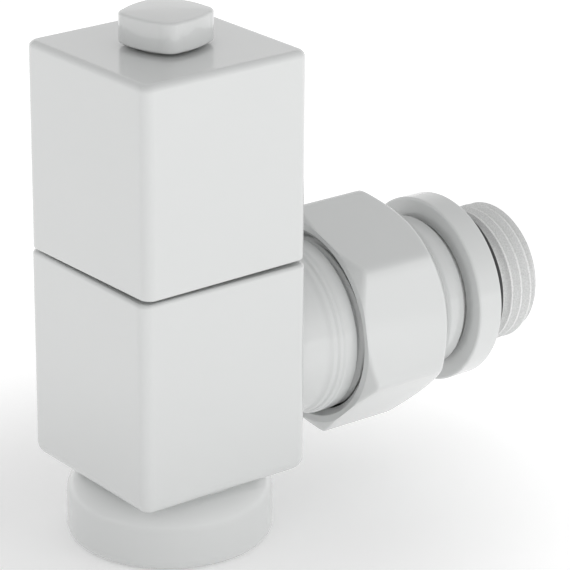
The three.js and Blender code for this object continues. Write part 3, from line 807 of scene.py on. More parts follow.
class HexFlats(Tool):
    """Mills six flats with softened edges on part of a turned blank, outside it or in its bore."""

    name = "hex_flats"
    inputs = {
        "Across Flats": "NodeSocketFloat",
        "Softness": "NodeSocketFloat",
        "Corner Angle": "NodeSocketFloat",
        "From": "NodeSocketFloat",
        "To": "NodeSocketFloat",
        "Reach": "NodeSocketFloat",
        "Finish": "NodeSocketMaterial",
    }

    def shape(self) -> Wire:
        """Pulls each point in to the nearest flat, with a smooth minimum at the edges."""
        graph = self.graph
        split = graph.node("ShaderNodeSeparateXYZ", None, {0: graph.wire("GeometryNodeInputPosition")})
        x, y, z = (Wire(graph, socket) for socket in split.outputs)
        radius = graph.math("SQRT", x * x + y * y)
        angle = graph.math("ARCTAN2", y, x)
        sixth = math.pi / 3
        around = angle - self.given("Corner Angle") + 4 * math.pi
        from_flat = graph.math("MODULO", around, sixth) - sixth / 2
        flat = self.given("Across Flats") * 0.5 / graph.math("COSINE", from_flat)
        corner = self.given("Across Flats") * (0.5 / math.cos(sixth / 2))
        softness = self.given("Softness")
        rounded = self._lesser(flat, corner - softness * 0.3, softness)
        milled = self._lesser(radius, rounded, softness)
        inside = self._between(z, self.given("From"), self.given("To"))
        near = graph.math("LESS_THAN", radius, self.given("Reach"))
        scale = 1 + (milled / graph.math("MAXIMUM", radius, MERGE) - 1) * inside * near
        place = graph.wire("ShaderNodeCombineXYZ", None, {"X": x * scale, "Y": y * scale, "Z": z})
        inputs = {"Geometry": self.given("Geometry"), "Position": place}
        return graph.wire("GeometryNodeSetPosition", None, inputs)

    def _lesser(self, one: Wire, other: Wire, softness: Wire) -> Wire:
        """Smooth minimum of two lengths."""
        return self.graph.math("SMOOTH_MIN", one, other, softness)

    def _between(self, value: Wire, low: Wire, high: Wire) -> Wire:
        """1 where the value lies between two others, else 0."""
        above = self.graph.math("GREATER_THAN", value, low)
        return above * self.graph.math("LESS_THAN", value, high)


@dataclass
class Workshop:
    """The tools that the sub-assemblies share."""

    thread: ScrewThread = field(default_factory=ScrewThread)
    hexagon: HexFlats = field(default_factory=HexFlats)

    def cut_thread(
        self, piece: bpy.types.Object, finish: Finishes, root: float, depth: float, pitch: float,
        start: float, end: float, steps: int, lead_in: float = 1.0, hand: float = 1.0,
    ) -> bpy.types.Object:
        """Cuts a thread on a piece with an open band; lengths are millimetres.

        Args:
            piece: The piece, open between the two ends of the thread.
            finish: Its finish.
            root: Radius of the open band's ends.
            depth: Height of the thread, below 0 where it stands inwards.
            pitch: Its pitch.
            start: Lower end.
            end: Upper end.
            steps: Steps round, those of the piece.
            lead_in: Slope of the chamfer at each end.
            hand: 1 for a right-hand thread, -1 for a left-hand one.

        Returns:
            The closed piece.
        """
        sizes = {"Root": root, "Depth": depth, "Pitch": pitch, "From": start, "To": end}
        metres = {label: value * MM for label, value in sizes.items()}
        return self.thread.apply(
            piece, Lead_In=lead_in, Steps_Round=steps, Hand=hand, Finish=finish.value.material(), **metres
        )

    def mill(
        self, piece: bpy.types.Object, finish: Finishes, across: float, start: float, end: float,
        softness: float = 0.4, corner: float = 0.0, reach: float = 100.0,
    ) -> bpy.types.Object:
        """Mills a hexagon on a piece; lengths are millimetres.

        Args:
            piece: The blank.
            finish: Its finish.
            across: Size across the flats.
            start: Lower end of the flats.
            end: Upper end of the flats.
            softness: How far the edges are softened.
            corner: A corner's angle from X, in degrees.
            reach: Points further from the axis than this are left alone.

        Returns:
            The piece with its flats.
        """
        sizes = {"Across Flats": across, "Softness": softness, "From": start, "To": end, "Reach": reach}
        metres = {label.replace(" ", "_"): value * MM for label, value in sizes.items()}
        turn = math.radians(corner)
        return self.hexagon.apply(piece, Corner_Angle=turn, Finish=finish.value.material(), **metres)


def low(node: str) -> Vector:
    """Lowest corner of a CAD node, in millimetres."""
    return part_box(node)[0] / MM


def high(node: str) -> Vector:
    """Highest corner of a CAD node, in millimetres."""
    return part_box(node)[1] / MM


def spaced(profile: np.ndarray, longest: float) -> np.ndarray:
    """Adds points to a profile so that no step is longer than this."""
    closed = profile[0][0] > 1e-9
    ends = np.roll(profile, -1, axis=0) if closed else profile[1:]
    points: list[np.ndarray] = []
    for here, ahead in zip(profile, ends):
        parts = max(1, math.ceil(np.linalg.norm(ahead - here) / longest))
        points += [here + (ahead - here) * step / parts for step in range(parts)]
    return np.array(points if closed else points + [profile[-1]])


def gap_after(profile: np.ndarray, radius: float, height: float) -> int:
    """Number of the profile point at this place, after which a thread is left out."""
    return int(np.argmin(np.hypot(profile[:, 0] - radius, profile[:, 1] - height)))


# ---------------------------------------------------------------- sub-assemblies

@dataclass
class SubAssembly:
    """Pieces that are made together. Each one gives its own sizes and its own build()."""

    shop: Workshop
    made: list[tuple[bpy.types.Object, Placing, Axis]] = field(default_factory=list, init=False)

    def build(self) -> None:
        """Makes the meshes of the pieces."""
        raise NotImplementedError

    def dress(self) -> None:
        """Puts each piece in place, with its finish, its body and the node that it stands for."""
        for piece, placing, axis in self.made:
            placing.settle(piece, axis)

    def add(
        self, piece: bpy.types.Object, node: str, body: str, finish: Finishes, axis: Axis = Axis()
    ) -> None:
        """Notes a piece for dress()."""
        self.made.append((piece, Placing(finish, body, (node,)), axis))

    def turn(self, name: str, corners: Sequence[Corner], steps: int = 128) -> bpy.types.Object:
        """Turns a piece from its profile's corners; one that starts off the axis closes on itself."""
        profile = softened(corners, closed=corners[0][0] > 0)
        return Skin.turned(profile, steps).object(name)

    def tube(
        self, name: str, inner: float, outer: float, foot: float, top: float, edge: float, steps: int = 128
    ) -> bpy.types.Object:
        """Turns a ring with four softened edges."""
        corners = [(inner, foot, edge), (outer, foot, edge), (outer, top, edge), (inner, top, edge)]
        return self.turn(name, corners, steps)


@dataclass
class ValveCasting(SubAssembly):
    """The one-piece body: square block, round inlet collar, seat, and the threaded union spigot."""

    half: float = 14.1
    corner: float = 1.6
    top: float = 42.1
    foot: float = 10.5
    foot_radius: float = 2.0
    top_radius: float = 0.5
    collar: float = 14.9
    collar_edge: float = 1.6
    shoulder: float = 4.4
    groove: float = 12.2  # radius of the groove between collar and block
    socket: float = 10.48  # radius across the roots of the inlet thread
    socket_depth: float = 1.18
    socket_thread: tuple[float, float] = (0.75, 12.9)
    waterway: float = 7.6
    recess: float = 9.7  # radius of the bonnet seal's recess
    recess_depth: float = 1.4
    chamber: float = 8.0
    chamber_floor: float = 19.3
    seat: tuple[float, float] = (5.0, 6.2)  # inner and outer radius of the seat's ring
    seat_rise: float = 0.6
    seat_depth: float = 2.6  # from the seat down to the waterway
    outlet_bore: tuple[float, float] = (6.0, 8.0)  # radius in the block, and in the spigot's mouth
    boss: float = 12.3
    ridge: float = 12.65
    ledge: float = 13.0
    rim: float = 13.2
    rim_end: float = 23.9
    spigot_root: float = 12.1
    spigot_depth: float = 1.0
    spigot_thread: tuple[float, float] = (24.7, 32.3)
    spigot_end: float = 32.41
    spigot_steps: int = 192
    bore_steps: int = 96
    ring: SquareRing = SquareRing()

    def build(self) -> None:
        """Lofts the block with its upright bores, adds the spigot and bores it out sideways."""
        body = self.shop.cut_thread(
            self._block().object("casting"), Finishes.PAINT, root=self.socket, depth=-self.socket_depth,
            pitch=PIPE_PITCH, start=self.socket_thread[0], end=self.socket_thread[1], steps=self.ring.count,
        )
        spigot = self._spigot()
        narrow, wide = self.outlet_bore
        start, step, far = 1.0, self.spigot_end - 2.91, self.spigot_end + 1.09
        corners = [(0, start), (narrow, start), (narrow, step - 0.3), (wide, step), (wide, far), (0, far)]
        bore = self.turn("bore", corners, self.bore_steps)
        for sideways in (spigot, bore):
            sideways.data.transform(OUTLET.matrix())
        for solid in (body, spigot, bore):
            closed_and_outward(solid)
        combined(body, spigot, "UNION")
        combined(body, bore, "DIFFERENCE")
        self.add(body, "valve_body", "valve", Finishes.PAINT)

    def _block(self) -> Skin:
        """The block and collar with all upright bores, open where the inlet thread goes."""
        rings = [lifted(self.ring.round(radius), height) for radius, height in self._collar_profile()]
        rings += [self._square(inset, height) for inset, height in self._block_profile()]
        rings += [lifted(self.ring.round(radius), height) for radius, height in self._bore_profile()]
        return Skin.loft(rings)

    def _square(self, inset: float, height: float) -> np.ndarray:
        """The block's outline this far inside its sides."""
        return lifted(self.ring.square(self.half - inset, max(0.5, self.corner - inset * 0.45)), height)

    def _collar_profile(self) -> np.ndarray:
        """From the inlet thread's foot, round the rim, up to the groove under the block."""
        centre, base = self.collar - self.shoulder, self.foot - self.shoulder
        rim = [
            (self.socket, self.socket_thread[0]), (self.socket + 0.47, 0),
            (self.collar, 0, self.collar_edge), (self.collar, base - 1),
        ]
        end = math.acos((self.groove - centre) / self.shoulder)
        arc = [
            (centre + self.shoulder * math.cos(a), base + self.shoulder * math.sin(a))
            for a in np.linspace(0, end, 10)
        ]
        return np.concatenate((softened(rim, closed=False), [(self.collar, base - HOLD)], arc))

    def _block_profile(self) -> list[tuple[float, float]]:
        """Inset and height of the block's outlines, from the groove over the sides to the top."""
        reach = self.foot_radius
        first = math.asin(1 - (self.half - self.groove) / reach)
        rows = edge_rows(reach, self.foot, 8, upper=False, first=first)
        rows += [(0, self.foot + reach + HOLD), (0, self.top - self.top_radius - HOLD)]
        rows += edge_rows(self.top_radius, self.top, 4, upper=True)
        return rows + [(self.top_radius + HOLD, self.top)]

    def _bore_profile(self) -> np.ndarray:
        """Down the upright bore: seal recess, chamber, seat, waterway, and the socket's head."""
        floor, ledge = self.chamber_floor, self.top - self.recess_depth
        seat_top = floor + self.seat_rise
        throat, head = seat_top - self.seat_depth, self.socket_thread[1] + 0.5
        inner, outer = self.seat
        corners = [
            (self.recess + 0.2, self.top), (self.recess, self.top - 0.2), (self.recess, ledge),
            (self.chamber + 0.2, ledge), (self.chamber, ledge - 0.2), (self.chamber, floor, 0.5),
            (outer, floor, 0.2), (outer, seat_top, 0.2), (inner, seat_top, 0.2), (inner, throat, 0.2),
            (self.waterway, throat, 0.4), (self.waterway, head, 0.2), (self.socket, head, 0.2),
            (self.socket, self.socket_thread[1]),
        ]
        return softened(corners, closed=False)

    def _spigot(self) -> bpy.types.Object:
        """The boss with its ridges and rim, and the union thread."""
        root, end = self.spigot_root, self.spigot_end
        first, last = self.spigot_thread
        flank = self.half - 4.1
        corners = [
            (0, flank), (self.rim, flank), (self.rim, self.half), (self.boss, self.half, 0.89),
            (self.boss, 19.3, 1.5), (self.ridge, 20.0, 0.8), (self.ridge + 0.03, 20.6, 0.4),
            (self.ledge - 0.05, 20.95, 0.4), (self.ledge, 21.4, 0.4), (self.rim, 21.75, 0.4),
            (self.rim, self.rim_end, 0.25), (root, self.rim_end, 0.2), (root, first), (root, last),
            (root - 0.15, end), (0, end),
        ]
        profile = softened(corners, closed=False)
        gap = gap_after(profile, root, first)
        spigot = Skin.turned(profile, self.spigot_steps, gap).object("spigot")
        return self.shop.cut_thread(
            spigot, Finishes.PAINT, root=root, depth=self.spigot_depth, pitch=PIPE_PITCH,
            start=first, end=last, steps=self.spigot_steps,
        )


@dataclass
class Headwork(SubAssembly):
    """Bonnet, regulating spindle, their seals, and the gland."""

    steps: int = 144
    bonnet_across: float = 17.0
    guide_across: float = 11.0
    guide_reach: float = 7.0  # the guide's hexagon is milled within this radius
    guide_bore: float = 6.45
    skirt: float = 7.7
    flange: float = 9.9
    flange_heights: tuple[float, float] = (42.4, 44.0)
    neck: float = 7.6
    packing_room: float = 6.0
    packing_floor: float = 52.2
    stem_bore: float = 3.8
    thrust_bore: float = 4.9
    gland_across: float = 13.0
    sleeve: float = 5.7
    key_across: float = 6.4
    stem: float = 3.5
    stem_thread: tuple[float, float] = (29.5, 42.5)
    thread_root: float = 2.6
    thread_depth: float = 0.4
    thread_pitch: float = 1.4
    thrust: float = 4.6
    groove: float = 2.4
    tapping: float = 2.05
    clip_radii: tuple[float, float] = (3.2, 5.2)
    clip_opening: float = 31.0  # degrees on each side of +X
    clip_steps: int = 72

    def build(self) -> None:
        """Makes the eight pieces of the headwork."""
        self._bonnet()
        self._gland_nut()
        self._spindle()
        self._clip()
        seals = (
            ("bonnet_ring", "bonnet_seal", "valve"),
            ("lower_stem_ring", "stem_seal_1", "operating_spindle"),
            ("upper_stem_ring", "stem_seal_2", "operating_spindle"),
        )
        for name, node, body in seals:
            outer, foot, top = high(node)[0], low(node)[2], high(node)[2]
            section = top - foot
            seal = self.tube(name, outer - section - 0.05, outer, foot, top, edge=section * 0.45)
            self.add(seal, node, body, Finishes.RUBBER)
        foot, top = low("gland_packing")[2], high("gland_packing")[2]
        packing = self.tube("packing_washer", self.stem_bore, self.sleeve, foot, top, edge=0.25)
        self.add(packing, "gland_packing", "valve", Finishes.PTFE)

    def _bonnet(self) -> None:
        """Skirt with its hexagon guide, flange, hexagon and neck."""
        corner = self.bonnet_across / math.sqrt(3)
        foot, shoulder, head = 32.8, 47.8, 56.8
        under, over = self.flange_heights
        guide_top, thrust_top = over - 0.4, over + 2
        corners = [
            (self.guide_bore, foot), (self.skirt, foot, 0.3), (self.skirt, under, 0.2),
            (self.flange, under, 0.25), (self.flange, over, 0.25), (8.7, over), (8.7, over + 0.05),
            (corner, over + 0.05), (corner, shoulder - 0.7), (corner - 1.1, shoulder),
            (self.neck, shoulder, 0.2), (self.neck, head, 0.4), (self.packing_room, head, 0.2),
            (self.packing_room, self.packing_floor, 0.1), (self.stem_bore, self.packing_floor, 0.1),
            (self.stem_bore, thrust_top), (self.thrust_bore, thrust_top), (self.thrust_bore, guide_top),
            (self.guide_bore, guide_top),
        ]
        profile = spaced(softened(corners), 0.35)
        bonnet = Skin.turned(profile, self.steps).object("bonnet_body")
        brass, reach = Finishes.BRASS, self.guide_reach
        self.shop.mill(bonnet, brass, self.bonnet_across, over + 0.03, shoulder + 0.1, softness=0.25)
        self.shop.mill(
            bonnet, brass, self.guide_across, foot - 0.1, guide_top + 0.1, softness=0.1, reach=reach
        )
        self.add(bonnet, "bonnet", "valve", brass)

    def _gland_nut(self) -> None:
        """Sleeve and hexagon, with a turned chamfer above."""
        corner = self.gland_across / math.sqrt(3)
        foot, under, top = 54.8, 57.1, 60.5
        corners = [
            (self.stem_bore, foot, 0.2), (self.sleeve, foot, 0.3), (self.sleeve, under), (corner, under),
            (corner, top - 0.5), (corner - 0.9, top), (self.stem_bore, top, 0.25),
        ]
        nut = Skin.turned(spaced(softened(corners), 0.3), self.steps).object("gland")
        self.shop.mill(nut, Finishes.BRASS, self.gland_across, under - 0.05, top + 0.1, softness=0.2)
        self.add(nut, "gland_nut", "valve", Finishes.BRASS)

    def _spindle(self) -> None:
        """Thread, thrust collar, seal and clip grooves, key hexagon and tapped end."""
        corner = self.key_across / math.sqrt(3)
        stem, root = self.stem, self.thread_root
        first, last = self.stem_thread
        collar_foot, collar_top, key_foot, end = 43.9, 45.7, 61.9, 66.9
        corners = [
            (0, first - 0.2), (root - 0.2, first - 0.2), (root, first), (root, last), (root, collar_foot),
            (self.thrust, collar_foot, 0.2), (self.thrust, collar_top, 0.2), (stem, collar_top),
        ]
        for foot in (46.25, 48.25):
            top = foot + 1.7
            corners += [(stem, foot), (self.groove, foot, 0.1), (self.groove, top, 0.1), (stem, top)]
        clip_groove, clip_foot, clip_top = stem - 0.6, 60.65, 61.75
        corners += [
            (stem, clip_foot), (clip_groove, clip_foot), (clip_groove, clip_top), (stem, clip_top),
            (stem, key_foot), (corner, key_foot), (corner, end - 0.4), (corner - 0.4, end),
            (self.tapping + 0.25, end), (self.tapping, end - 0.25), (self.tapping, 62.1), (0, 61.2),
        ]
        profile = softened(corners, closed=False)
        gap = gap_after(profile, root, first)
        fine = np.concatenate((spaced(profile[: gap + 1], 0.5), spaced(profile[gap + 1:], 0.5)))
        spindle = Skin.turned(fine, self.steps, gap_after(fine, root, first)).object("regulating_spindle")
        self.shop.cut_thread(
            spindle, Finishes.BRASS, root=root, depth=self.thread_depth, pitch=self.thread_pitch,
            start=first, end=last, steps=self.steps, hand=-1,
        )
        self.shop.mill(spindle, Finishes.BRASS, self.key_across, key_foot - 0.05, end + 0.1, softness=0.15)
        self.add(spindle, "spindle", "operating_spindle", Finishes.BRASS)

    def _clip(self) -> None:
        """Open spring clip in the spindle's upper groove."""
        foot, top = low("spindle_circlip")[2], high("spindle_circlip")[2]
        inner, outer = self.clip_radii
        section = softened([(inner, foot, 0.1), (outer, foot, 0.15), (outer, top, 0.15), (inner, top, 0.1)])
        middle = section.mean(axis=0)
        opening = math.radians(self.clip_opening)
        angles = np.linspace(opening, 2 * math.pi - opening, self.clip_steps)
        ways = [np.array((math.cos(angle), math.sin(angle))) for angle in angles]
        rings = [np.column_stack((np.outer(section[:, 0], way), section[:, 1])) for way in ways]
        caps = [np.array(((*(middle[0] * way), middle[1]),)) for way in (ways[0], ways[-1])]
        clip = Skin.loft([caps[0], *rings, caps[1]]).object("stem_clip")
        self.add(clip, "spindle_circlip", "operating_spindle", Finishes.STEEL)


@dataclass
class PlugSet(SubAssembly):
    """The plug that closes the seat: brass carrier, rubber disc and its screw."""

    across: float = 10.4
    cup: tuple[float, float] = (6.8, 7.2)  # inner and outer radius of the cup's wall
    cup_heights: tuple[float, float] = (21.2, 24.6)
    cup_floor: float = 22.5
    screw_hole: tuple[float, float] = (1.5, 24.5)  # radius and depth's height
    stem_bore: float = 3.3
    stem_end: float = 35.2
    disc: tuple[float, float] = (1.5, 6.5)
    screw_head: float = 2.8
    screw_shank: float = 1.2
    slot_half: float = 0.35
    steps: int = 120

    def build(self) -> None:
        """Makes the carrier with its hexagon stem, the disc and the slotted screw."""
        corner = self.across / math.sqrt(3)
        inner, outer = self.cup
        foot, top = self.cup_heights
        hole, hole_top = self.screw_hole
        bore, bore_foot, end = self.stem_bore, hole_top + 0.75, self.stem_end
        corners = [
            (0, hole_top), (hole, hole_top), (hole, self.cup_floor), (inner, self.cup_floor),
            (inner, foot, 0.1), (outer, foot, 0.1), (outer, top, 0.3), (corner, top), (corner, end - 0.4),
            (corner - 0.5, end), (bore + 0.3, end), (bore, end - 0.3), (bore, bore_foot), (0, bore_foot),
        ]
        profile = spaced(softened(corners, closed=False), 0.5)
        carrier = Skin.turned(profile, self.steps).object("plug_cup")
        self.shop.mill(carrier, Finishes.BRASS, self.across, top + 0.05, end + 0.1, softness=0.2)
        self.add(carrier, "plug_carrier", "plug", Finishes.BRASS)
        disc = self.tube("plug_disc", *self.disc, low("plug_seal")[2], high("plug_seal")[2], edge=0.3)
        self.add(disc, "plug_seal", "plug", Finishes.RUBBER)
        self.add(self._screw(), "plug_screw", "plug", Finishes.BRASS)

    def _screw(self) -> bpy.types.Object:
        """The screw under the disc, its round head slotted from below."""
        head_foot, head_top, end = 18.8, 19.9, 24.0
        head, shank = self.screw_head, self.screw_shank
        screw = self.turn("disc_screw", [
            (0, head_foot), (head, head_foot, 0.7), (head, head_top, 0.1), (shank, head_top),
            (shank, end - 0.2), (shank - 0.2, end), (0, end),
        ], 72)
        reach, half = head + 1.2, self.slot_half
        low_corner, far_corner = (-reach, -half, head_foot - 0.8), (reach, half, head_foot + 0.55)
        slot = Skin.block(low_corner, far_corner).object("slot")
        for solid in (screw, slot):
            closed_and_outward(solid)
        return combined(screw, slot, "DIFFERENCE")


@dataclass
class UnionJoint(SubAssembly):
    """The ring nut and its flat washer, on the outlet axis."""

    across: float = 30.0
    corner_angle: float = 108.4
    mouth: float = 14.25
    bore: float = 13.35
    tail_bore: float = 10.78
    shoulder: float = 37.5  # where the bore narrows round the tail
    chamfer: float = 1.35
    flats: float = 12.8  # length of the nut's hexagon
    cone_radius: float = 11.5
    nose: float = 3.4  # length of the round nose behind the hexagon
    washer: tuple[float, float] = (8.0, 11.8)
    steps: int = 288

    def build(self) -> None:
        """Turns the nut's blank, mills its flats, and makes the washer."""
        start, end = low("union_nut")[0], high("union_nut")[0]
        corner = self.across / math.sqrt(3) + 0.15
        cone = end - self.nose
        corners = [
            (self.mouth, start, 0.15), (self.across / 2 + 0.25, start, 0.3),
            (corner, start + self.chamfer, 0.5), (corner, start + self.flats, 1.5),
            (self.cone_radius, cone, 2.5), (self.cone_radius, end, 0.25), (self.tail_bore, end, 0.2),
            (self.tail_bore, self.shoulder), (self.bore, self.shoulder), (self.bore, start + 0.9),
        ]
        profile = spaced(softened(corners), 0.3)
        nut = Skin.turned(profile, self.steps).object("ring_nut_body")
        self.shop.mill(
            nut, Finishes.PAINT, self.across, start - 1, cone, softness=0.7, corner=self.corner_angle
        )
        self.add(nut, "union_nut", "ring_nut", Finishes.PAINT, OUTLET)
        start, end = low("union_seal")[0], high("union_seal")[0]
        washer = self.tube("fibre_washer", *self.washer, start, end, edge=0.2)
        self.add(washer, "union_seal", "union_face", Finishes.FIBRE, OUTLET)


@dataclass
class RadiatorTail(SubAssembly):
    """The tail that screws into the radiator, its shoulder ring and its rubber ring."""

    barrel: float = 10.4775
    root: float = 9.3155
    thread: tuple[float, float] = (8.0, 0.15)  # from the tail's end back to the thread's two ends
    flange: float = 11.8
    flange_width: float = 2.2
    groove_start: float = 50.5
    bores: tuple[float, float] = (7.0, 7.4)
    key_across: float = 12.0
    key_length: float = 11.5
    ring_bore: float = 10.78
    ring_edge: float = 0.4
    seal_bore: float = 9.47
    seal_edge: float = 1.05
    steps: int = 240
    seal_steps: int = 160

    def build(self) -> None:
        """Makes the threaded tail with its key hexagon, the ring and the seal."""
        self._tail()
        start, end, outer = low("tail_ring")[0], high("tail_ring")[0], high("tail_ring")[1]
        ring = self.turn("shoulder_ring", [
            (self.ring_bore, start, 0.2), (outer, start, self.ring_edge), (outer, end, self.ring_edge),
            (self.ring_bore, end, 0.2),
        ], self.steps)
        self.add(ring, "tail_ring", "tail", Finishes.PAINT, OUTLET)
        start, end, outer = low("tail_seal")[0], high("tail_seal")[0], high("tail_seal")[1]
        seal = self.tube("rubber_ring", self.seal_bore, outer, start, end, self.seal_edge, self.seal_steps)
        self.add(seal, "tail_seal", "tail", Finishes.RUBBER, OUTLET)

    def _tail(self) -> None:
        """Flange, barrel, seal groove, thread, and the bore with its key hexagon."""
        start, end = low("tailpiece")[0], high("tailpiece")[0]
        first, last = (end - back for back in self.thread)
        narrow, wide = self.bores
        flange_end, key_end = start + self.flange_width, start + self.key_length
        groove, root = self.groove_start, self.root
        corners = [
            (narrow, start), (self.flange, start, 0.3), (self.flange, flange_end, 0.3),
            (self.barrel, flange_end, 0.2), (self.barrel, groove), (root, groove), (root, first),
            (root, last), (root - 0.15, end), (wide, end, 0.3), (wide, key_end + 1.4),
            (narrow, key_end + 1), (narrow, key_end),
        ]
        profile = softened(corners)
        gap = gap_after(profile, root, first)
        tail = Skin.turned(profile, self.steps, gap).object("radiator_tail")
        finish = Finishes.THREAD
        self.shop.cut_thread(
            tail, finish, root=root, depth=self.barrel - root, pitch=PIPE_PITCH,
            start=first, end=last, steps=self.steps, lead_in=1.3,
        )
        self.shop.mill(
            tail, finish, self.key_across, start - 1, key_end + 0.1, softness=0.2, reach=narrow + 0.2
        )
        self.add(tail, "tailpiece", "tail", finish, OUTLET)


@dataclass
class LockshieldCover(SubAssembly):
    """The square cover and the insert that centres it on the bonnet."""

    turned: Axis = Axis(turn=1.5)
    half: float = 13.95
    wall: float = 1.8
    corner: float = 1.6
    top_radius: float = 1.0
    foot_radius: float = 0.35
    ceiling: float = 70.25
    ceiling_radius: float = 0.5
    washer_seat: tuple[float, float] = (4.4, 72.35)  # radius and height of the recess in the top
    stud_hole: float = 2.35
    insert_half: float = 11.85
    insert_corner: float = 1.2
    insert_bore: float = 10.35
    insert_radius: float = 0.3
    ring: SquareRing = SquareRing()

    def build(self) -> None:
        """Lofts the shell and the insert, each as one closed skin."""
        foot, top = low("head_cover")[2], high("head_cover")[2]
        seat, seat_floor = self.washer_seat
        hole = [(seat + 0.2, top), (seat, top - 0.2), (seat, seat_floor)]
        hole += [(self.stud_hole, seat_floor), (self.stud_hole, self.ceiling)]
        inner = self.half - self.wall
        rings = self._rounded(self.half, self.corner, foot, top, self.foot_radius, self.top_radius)
        rings += [lifted(self.ring.round(radius), height) for radius, height in hole]
        rings += self._rounded(inner, self.corner, foot, self.ceiling, 0.0, self.ceiling_radius)[::-1]
        shell = Skin.loft(rings, closed=True).object("cover_shell")
        self.add(shell, "head_cover", "cover", Finishes.PAINT, self.turned)
        foot, top, bore = low("cover_insert")[2], high("cover_insert")[2], self.insert_bore
        hole = [(bore + 0.2, top), (bore, top - 0.2), (bore, foot + 0.6), (bore + 0.6, foot)]
        radius = self.insert_radius
        rings = self._rounded(self.insert_half, self.insert_corner, foot, top, radius, radius)
        rings += [lifted(self.ring.round(radius), height) for radius, height in hole]
        insert = Skin.loft(rings, closed=True).object("centring_insert")
        self.add(insert, "cover_insert", "cover", Finishes.PLASTIC, self.turned)

    def _rounded(
        self, half: float, corner: float, foot: float, top: float, foot_radius: float, top_radius: float
    ) -> list[np.ndarray]:
        """Rings up the side of a square pillar.

        Args:
            half: Half its side.
            corner: Radius of its upright edges.
            foot: Height of its foot.
            top: Height of its top.
            foot_radius: Rounding of the lower edge, 0 for a sharp one.
            top_radius: Rounding of the upper edge.

        Returns:
            The rings, from the foot to the top.
        """
        rows = edge_rows(foot_radius, foot, 6, upper=False) if foot_radius else [(0, foot)]
        rows += [(0, foot + foot_radius + HOLD), (0, top - top_radius - HOLD)]
        rows += [*edge_rows(top_radius, top, 6, upper=True), (top_radius + HOLD, top)]
        return [
            lifted(self.ring.square(half - inset, max(0.5, corner - inset * 0.6)), height)
            for inset, height in rows
        ]


@dataclass
class CaptiveKnob(SubAssembly):
    """The small square knob, its washer and its stud."""

    turned: Axis = Axis(turn=16.0)
    half: float = 5.3
    bulge: float = 0.4
    corner: float = 2.3
    edge: float = 0.4
    crown: float = 0.25
    hole: float = 2.05
    hole_depth: float = 2.5
    washer: tuple[float, float] = (2.05, 4.1)
    stud: float = 1.75
    stud_root: float = 1.45
    stud_depth: float = 0.3
    stud_pitch: float = 0.7
    stud_thread: tuple[float, float] = (0.1, 4.5)  # the thread's two ends above the stud's foot
    stud_steps: int = 72
    ring: SquareRing = SquareRing()

    def build(self) -> None:
        """Lofts the knob, turns the washer and cuts the stud's thread."""
        knob = self._knob(low("cap_knob")[2], high("cap_knob")[2]).object("square_knob")
        self.add(knob, "cap_knob", "knob", Finishes.PAINT, self.turned)
        washer_foot, washer_top = low("knob_washer")[2], high("knob_washer")[2]
        washer = self.tube("washer", *self.washer, washer_foot, washer_top, edge=0.15)
        self.add(washer, "knob_washer", "knob_carrier", Finishes.PLASTIC)
        foot, top = low("knob_stud")[2], high("knob_stud")[2]
        first, last = (foot + rise for rise in self.stud_thread)
        root = self.stud_root
        corners = [
            (0, foot), (root - 0.1, foot), (root, first), (root, last), (self.stud, last + 0.3),
            (self.stud, top - 0.2), (self.stud - 0.2, top), (0, top),
        ]
        profile = softened(corners, closed=False)
        gap = gap_after(profile, root, first)
        stud = Skin.turned(profile, self.stud_steps, gap).object("captive_stud")
        self.shop.cut_thread(
            stud, Finishes.STEEL, root=root, depth=self.stud_depth, pitch=self.stud_pitch,
            start=first, end=last, steps=self.stud_steps,
        )
        self.add(stud, "knob_stud", "knob", Finishes.STEEL, self.turned)

    def _knob(self, foot: float, top: float) -> Skin:
        """The knob with crowned sides and top, and the hole for its stud."""
        end = foot + self.hole_depth
        hole = [(self.hole, end), (self.hole, foot + 0.2), (self.hole + 0.2, foot)]
        shoulder = top - self.crown
        rows = edge_rows(self.edge, foot, EDGE_STEPS, upper=False)
        rows += edge_rows(self.edge, shoulder, EDGE_STEPS, upper=True)
        rings = [np.array(((0, 0, end),))]
        rings += [lifted(self.ring.round(radius), height) for radius, height in hole]
        rings += [
            lifted(self.ring.square(self.half - inset, self.corner - inset, self.bulge), height)
            for inset, height in rows
        ]
        flat, corner = self.half - self.edge, self.corner - self.edge
        for share in (0.97, 0.9, 0.8, 0.65, 0.5, 0.35, 0.2, 0.08):
            ring = self.ring.square(flat * share, corner * share, self.bulge * share)
            rings.append(lifted(ring, shoulder + self.crown * (1 - share ** 2)))
        rings.append(np.array(((0, 0, top),)))
        return Skin.loft(rings)


# ---------------------------------------------------------------- studio

